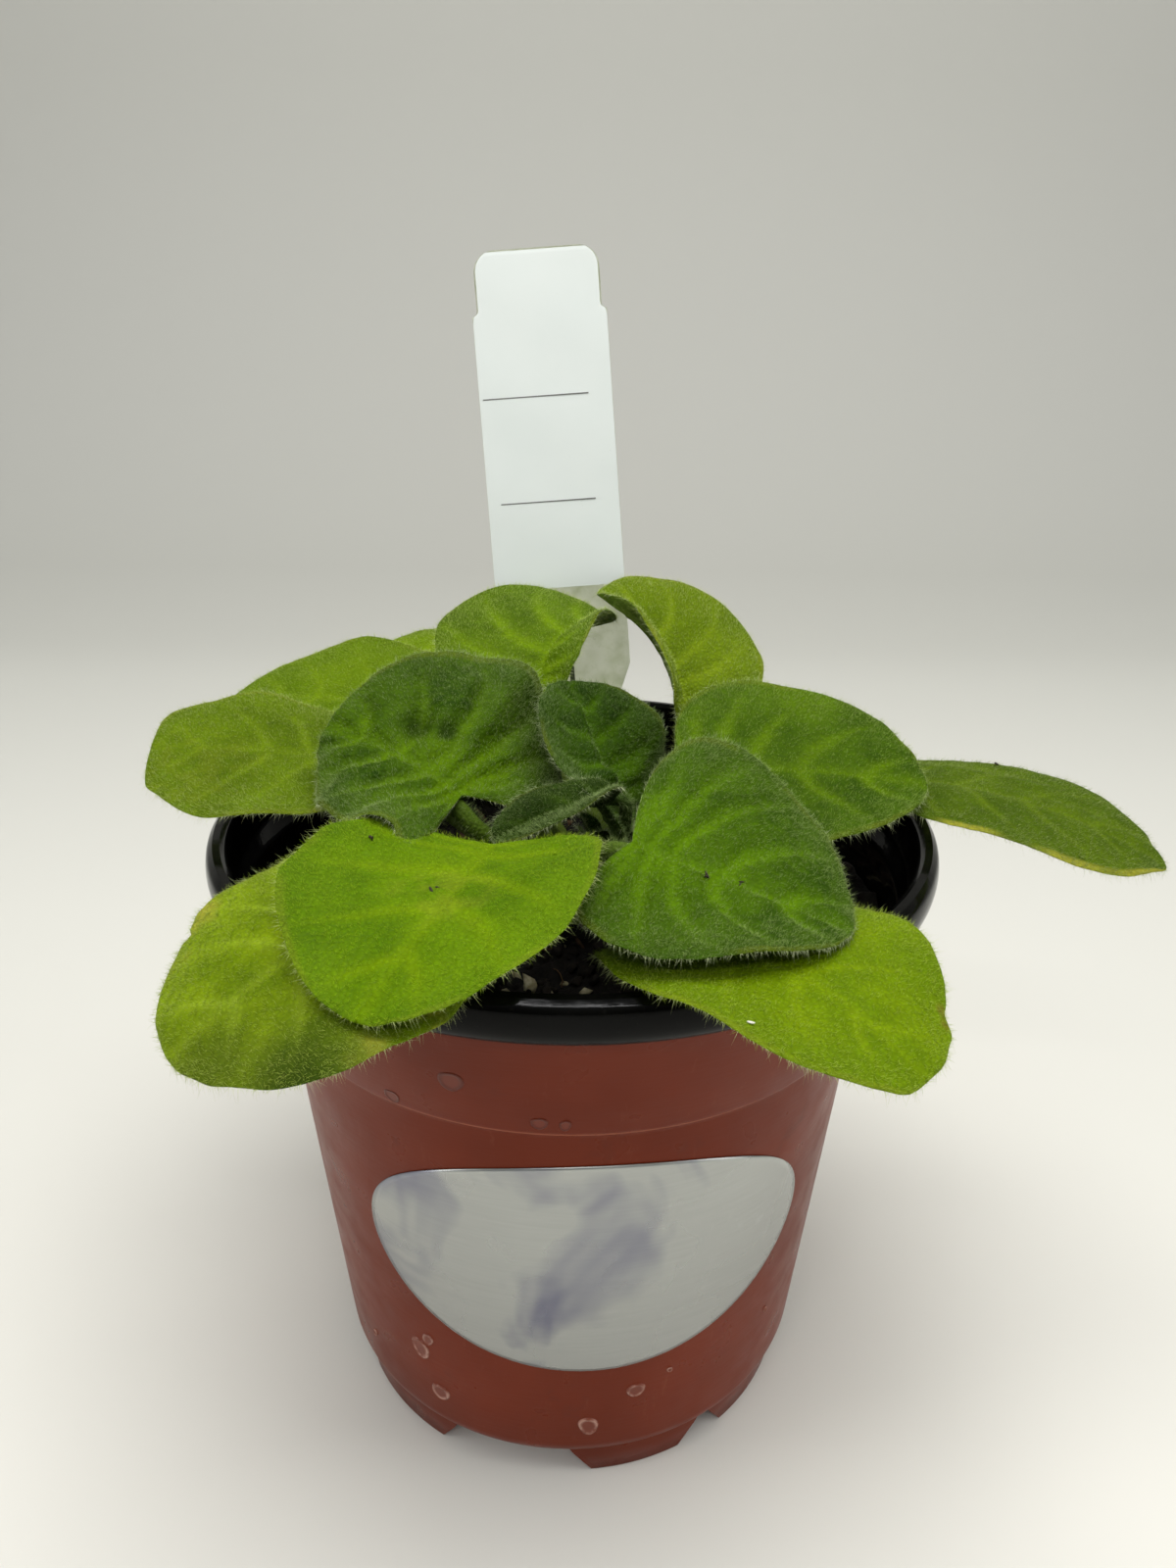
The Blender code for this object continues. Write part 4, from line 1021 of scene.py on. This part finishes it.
def make_sticker(n_r=30, n_a=160):
    f, w = np.arange(n_r + 1)[:, None] / n_r, ring_angles(n_a)
    u, v = f * np.cos(w), f * np.sin(w)
    wave = 0.03 * noise(np.stack([u * 33, v * 20], -1), 9.0, 3, 2)
    z = STICKER["z"] + STICKER["half_height"] * v
    a = radians(STICKER["theta"]) + u * STICKER["half_arc"] / WALL_R
    front = on_wall(a, z, 0.21 + wave - 0.035 * smooth(0.975, 1.0, f))
    own(make_object("foil_label", *disc(front, on_wall(a, z, 0.02)), [foil()]), "pot_sticker", slot="label_foil")


make_sticker()

# ------------------------------------------------------------------ stake tag
TAG_FOOT = np.array([0.4, 33.0, 80.0])
TAG_TILT, TAG_LEAN = radians(4.6), radians(12.0)
TAG_THICK = 0.9
TAG_HALF = [(-26, 1.2), (-18, 4.6), (10, 5.2), (25.2, 11.3), (84.2, 11.2)]
TAG_NECK, TAG_TOP, TAG_TOP_HALF, TAG_CORNER = 84.2, 94.4, 10.4, 3.4


def tag_place(x, y, h):
    b, a = TAG_TILT, TAG_LEAN
    x, h = x * cos(b) - h * sin(b), x * sin(b) + h * cos(b)
    y, h = y * cos(a) + h * sin(a), -y * sin(a) + h * cos(a)
    return np.stack([x, y, h], -1) + TAG_FOOT


def tag_half_width(h):
    """Half width of the stake at height h, with a rounded head."""
    d = h - (TAG_TOP - TAG_CORNER)
    if d > 0:
        return TAG_TOP_HALF - TAG_CORNER + math.sqrt(max(0.0, TAG_CORNER ** 2 - d * d))
    if h > TAG_NECK:
        return TAG_TOP_HALF + 0.5 * (1 - smooth(TAG_NECK, 84.9, h))
    return np.interp(h, *np.array(TAG_HALF).T)


def slab(heights, width, front, back, inset, x0=0.0, cols=14, ripple=0.0):
    """A thin plate up the stake with softened edges, from its front to its back."""
    us = np.concatenate([[-1, -1 + inset / 6], np.linspace(-0.9, 0.9, cols), [1 - inset / 6, 1]])
    h = np.array(heights)[:, None] + 0 * us
    x = np.array([width(q) for q in heights])[:, None] * us
    within = (np.minimum(h - heights[0], heights[-1] - h) / 0.4 >= 1) & (np.abs(us) < 0.999)
    mid, soft = (front + back) / 2, np.where(within, 1.0, 0.45)
    verts = np.array([tag_place(x0 + x, mid + (y - mid) * soft + ripple * np.sin(h * 0.35 + x * 0.2), h)
                      for y in (front, back)])
    return verts.reshape(-1, 3), plate(*np.arange(verts.size // 3).reshape(verts.shape[:3]))


def tag_materials():
    body = Shader("stake_plastic").fixed(Specular_IOR_Level=0.4, Transmission_Weight=0.85, IOR=1.2)
    wash = body.mix(srgb(226, 230, 212), srgb(190, 198, 166), body.blotch(3.2, 0.42, 0.7, 4.0, 0.6))
    wash = body.mix(wash, srgb(128, 136, 98), body.times(body.blotch(0.7, 0.66, 0.74, 3.0, 0.6), 0.4))
    face = Shader("tag_face")
    white = face.mix(srgb(219, 226, 223), srgb(227, 232, 229), face.noise(12.0, 3.0))
    white = face.mix(white, srgb(196, 200, 188), face.times(face.blotch(0.9, 0.72, 0.80, 3.0, 0.6), 0.5))
    ink = Shader("rule_ink").fixed(Roughness=0.6)
    slit = Shader("slit_shade").fixed(Roughness=0.6)
    return [body.done(wash, body.ramp(body.noise(4.0), (0.3, 0.34), (0.7, 0.5)),
                      body.bump(body.noise(0.9, 2.0), 0.02, 0.4)),
            face.done(white, face.ramp(face.noise(3.0), (0.3, 0.42), (0.7, 0.55)),
                      face.bump(face.noise(0.4, 2.0), 0.01, 0.3)),
            ink.done(ink.mix(srgb(88, 88, 86), srgb(120, 120, 117), ink.noise(0.6, 2.0))),
            slit.done(slit.mix(srgb(96, 106, 78), srgb(122, 132, 100), slit.noise(1.0, 2.0)))]


def make_tag():
    grid = lambda a, b, n: np.linspace(a, b, n).tolist()
    corner = lambda cut: [TAG_TOP - TAG_CORNER + (TAG_CORNER - cut) * sin(pi / 2 * k / 9) for k in range(1, 10)]
    neck = [84.5, 84.9]
    stake = grid(-26, 25.2, 40) + grid(26.5, TAG_NECK, 44) + neck + grid(85.6, TAG_TOP - TAG_CORNER, 6) + corner(0)
    paper = [39.0, 39.2] + grid(40, TAG_NECK, 46) + neck + grid(85.6, 90.6, 6) + corner(0.3)
    t = TAG_THICK / 2
    parts = [slab(stake, tag_half_width, -t, t, 0.4),
             slab(paper, lambda h: tag_half_width(h) - (0.05 if h < TAG_NECK else 0.25), -t - 0.10, -t + 0.02, 0.3,
                  ripple=0.03)]
    for h, x0, half in ((70.9, -1.7, 8.9), (53.6, -0.9, 8.1)):             # plain printed rules
        parts.append(slab([h - 0.09, h - 0.03, h + 0.03, h + 0.09], lambda _: half, -t - 0.21, -t - 0.05, 0.2, x0))
    # painted shade: a thin dark strip stands for the shade in the stake's groove
    parts.append(slab([20.5, 20.8, 24.0, 28.0, 31.5, 31.8], lambda _: 0.42, -t - 0.05, -t + 0.05, 0.2, 1.0, cols=4))
    items = [(*part, kind) for part, kind in zip(parts, (0, 1, 2, 2, 3))]  # the last is a dark strip of painted shade along the stake's groove
    ob = scatter("stake_tag", items, tag_materials(), "tag_plastic")
    ob.data.set_sharp_from_angle(angle=radians(50))
    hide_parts("plant_tag")


make_tag()

# ------------------------------------------------------------------ potting mix
SOIL_Z, MIX_R, CRUMB_R = 80.0, 46.0, 45.0
MIX_WALL = [(45.4, 78.0), (43.2, 71.2), (42.4, 69.4), (36.4, 9.4), (34.2, 6.6)]
PERLITE = [((-5.8, -26.5), 1.3), ((-3.2, -27.6), 0.9), ((-7.6, -24.4), 0.8), ((41.5, -4.7), 0.8),
           ((43.4, -7.7), 1.1), ((42.1, -13.2), 0.9), ((-8.9, -28.9), 0.7), ((1.5, -29.5), 0.8),
           ((-1.0, -24.6), 0.6)]


def soil_height(x, y):
    """Same low mounds as the CAD, plus crumbs."""
    x, y = np.atleast_1d(x, y)
    d = np.hypot(x - CROWN[0], y - CROWN[1])
    soft = np.clip((d - 9.0) / 6.0, 0, 1)
    bump = (0.9 * np.sin(x * 0.31 + 1.0) * np.cos(y * 0.27) + 0.6 * np.sin(x * 0.55 - y * 0.47)
            + 0.4 * np.cos(y * 0.9 + x * 0.2))
    q = np.stack([x, y], -1)
    fine = 0.55 * noise(q, 3.2, 21, 2) + 0.32 * noise(q, 1.3, 22) + 0.15 * noise(q, 0.7, 23)
    return SOIL_Z + soft * bump + fine * np.clip((d - 5.0) / 3.0, 0, 1)


def soil_material(name, a, b, rough=0.9):
    m = Shader(name).fixed(Specular_IOR_Level=0.25)
    base = m.mix(srgb(*a), srgb(*b), m.blotch(1.1, 0.35, 0.68, 4.0, 0.7))
    return m.done(base, m.ramp(m.noise(0.8), (0.3, rough - 0.2), (0.7, rough)),
                  m.bump(m.noise(0.45, 4.0, 0.7), 0.25, 0.9))


def make_mix(seg=300):
    w = ring_angles(seg)
    r = np.linspace(0, MIX_R, 97)[1:, None]
    x, y = r * np.cos(w), r * np.sin(w)
    wall = [np.stack([r * np.cos(w), r * np.sin(w), z + 0 * w], -1) for r, z in MIX_WALL]
    rings = np.concatenate([np.stack([x, y, soil_height(x, y)], -1), wall])
    centre = (0, 0, soil_height(0.0, 0.0)[0])
    own(make_object("peat", *turned(rings, centre, (0, 0, 6.4), down=True),
                    [soil_material("peat", (10, 9, 7), (30, 25, 19))]), "potting_mix", slot="potting_mix")


def make_crumbs():
    rng = np.random.default_rng(5)
    items = []

    def drop(r_lo, r_hi, squash, kind, xy=None, sub=2, rough=0.3):
        size = rng.uniform(r_lo, r_hi)
        while xy is None or math.dist(xy, CROWN) < 8:
            a, r = rng.uniform(0, 2 * pi), CRUMB_R * math.sqrt(rng.random())
            xy = (r * cos(a), r * sin(a))
        v, f = pebble(rng, size, int(rng.integers(1, 40)), sub, squash, rough)
        items.append((v + np.array([*xy, soil_height(*xy)[0] + size * 0.35]), f, kind))
    for _ in range(1100):
        drop(0.35, 1.25, (1, rng.uniform(0.5, 1), rng.uniform(0.4, 0.8)), 0, sub=1 if rng.random() < 0.5 else 2,
             rough=0.45)
    for _ in range(150):
        drop(0.5, 1.7, (1.5, rng.uniform(0.3, 0.5), 0.25), 1, rough=0.3)
    for _ in range(90):
        drop(0.3, 0.95, (1, 0.9, 0.7), 2, sub=1, rough=0.5)
    for xy, size in PERLITE:
        drop(size, size * 1.1, (1, 0.8, 0.65), 2, xy, sub=1, rough=0.6)
    scatter("soil_crumbs", items, [soil_material("peat_crumb", (14, 12, 9), (40, 33, 25)),
                                   soil_material("bark_chip", (48, 34, 22), (92, 68, 44), 0.8),
                                   soil_material("perlite", (150, 140, 104), (208, 200, 168), 0.95)], "potting_mix")
    fibres = []
    u = np.linspace(-0.5, 0.5, 9)
    for k in range(60):
        a, r = rng.uniform(0, 2 * pi), 44 * math.sqrt(rng.random())
        cx, cy = r * cos(a), r * sin(a)
        if math.dist((cx, cy), CROWN) < 9:
            continue
        d, length = rng.uniform(0, 2 * pi), rng.uniform(2, 6)
        x = cx + cos(d) * length * u + 0.5 * np.sin(u * 5 + k)
        y = cy + sin(d) * length * u + 0.5 * np.cos(u * 4 + k)
        if np.hypot(x, y).max() > 45.3:
            continue
        z = soil_height(x, y) + 0.35 + 0.3 * np.cos(u * pi)
        fibres.append((*tube(np.stack([x, y, z], -1), np.full(9, rng.uniform(0.06, 0.14)), 6), 0))
    scatter("soil_fibres", fibres, [soil_material("root_fibre", (70, 50, 30), (120, 92, 58), 0.8)], "potting_mix")


make_mix()
make_crumbs()

# ------------------------------------------------------------------ floor, backdrop, light, in metres
REACH = 3.4                                   # of the paper to the sides and in front


def make_stage():
    a = np.linspace(0, pi / 2, 25)
    bend = np.stack([0.42 + 0.3 * np.sin(a), 0.3 * (1 - np.cos(a))], -1)
    y, z = refined(np.concatenate([[[-REACH, 0.0]], bend, [[0.72, 1.9]]]), 0.08).T[..., None]
    verts = np.stack(np.broadcast_arrays(np.linspace(-REACH, REACH, 35), y, z), -1)
    me = bpy.data.meshes.new("sweep")
    me.from_pydata(verts.reshape(-1, 3).tolist(), [], quads(np.arange(verts.size // 3).reshape(verts.shape[:2])))
    me.shade_smooth()
    m = Shader("pale_paper").fixed(Roughness=0.9, Specular_IOR_Level=0.1)
    tone = m.ramp(m.axis("Y"), (0.02, srgb(222, 221, 214)), (0.36, srgb(210, 210, 203)),
                  (0.52, srgb(196, 196, 189)), (0.72, srgb(207, 207, 201)))
    show("sweep", me, [m.done(tone)])


def area(name, place, target, size, watts, color=(1, 1, 1)):
    data = bpy.data.lights.new(name, "AREA")
    data.shape = "RECTANGLE"
    data.size, data.size_y = size
    data.energy = watts
    data.color = color
    ob = bpy.data.objects.new(name, data)
    bpy.context.scene.collection.objects.link(ob)
    ob.location = place
    ob.rotation_mode = "QUATERNION"
    ob.rotation_quaternion = (Vector(target) - Vector(place)).to_track_quat("-Z", "Y")


def make_light():
    scene = bpy.context.scene
    world = scene.world = bpy.data.worlds.new("studio")
    world.use_nodes = True
    nt = world.node_tree
    axes = nt.nodes.new("ShaderNodeSeparateXYZ")
    nt.links.new(nt.nodes.new("ShaderNodeTexCoord").outputs["Generated"], axes.inputs[0])
    add = nt.nodes.new("ShaderNodeMath")
    # dim on the camera's side, brighter behind and above
    for k, (axis, *limits) in enumerate((("Y", -0.9, 0.5, 0.05, 0.55), ("Z", 0.15, 0.9, 0.0, 0.35))):
        grade = nt.nodes.new("ShaderNodeMapRange")
        for key, v in zip(("From Min", "From Max", "To Min", "To Max"), limits):
            grade.inputs[key].default_value = v
        nt.links.new(axes.outputs[axis], grade.inputs["Value"])
        nt.links.new(grade.outputs[0], add.inputs[k])
    sky = nt.nodes["Background"]
    nt.links.new(add.outputs[0], sky.inputs["Strength"])
    sky.inputs["Color"].default_value = (0.98, 0.99, 1.0, 1)
    area("top", (0.02, -0.06, 0.75), (0, 0, 0.08), (0.55, 0.45), 4.4, (1.0, 0.985, 0.95))
    area("lip_strip", (-0.05, -0.55, 0.62), (0, 0, 0.09), (0.5, 0.012), 1.1)
    area("left_strip", (-0.7, -0.2, 0.35), (0, 0, 0.07), (0.25, 0.6), 0.9)
    area("right_strip", (0.7, -0.2, 0.35), (0, 0, 0.07), (0.25, 0.6), 1.1)
    scene.view_settings.view_transform = "Standard"
    scene.view_settings.look = "None"


make_stage()
make_light()
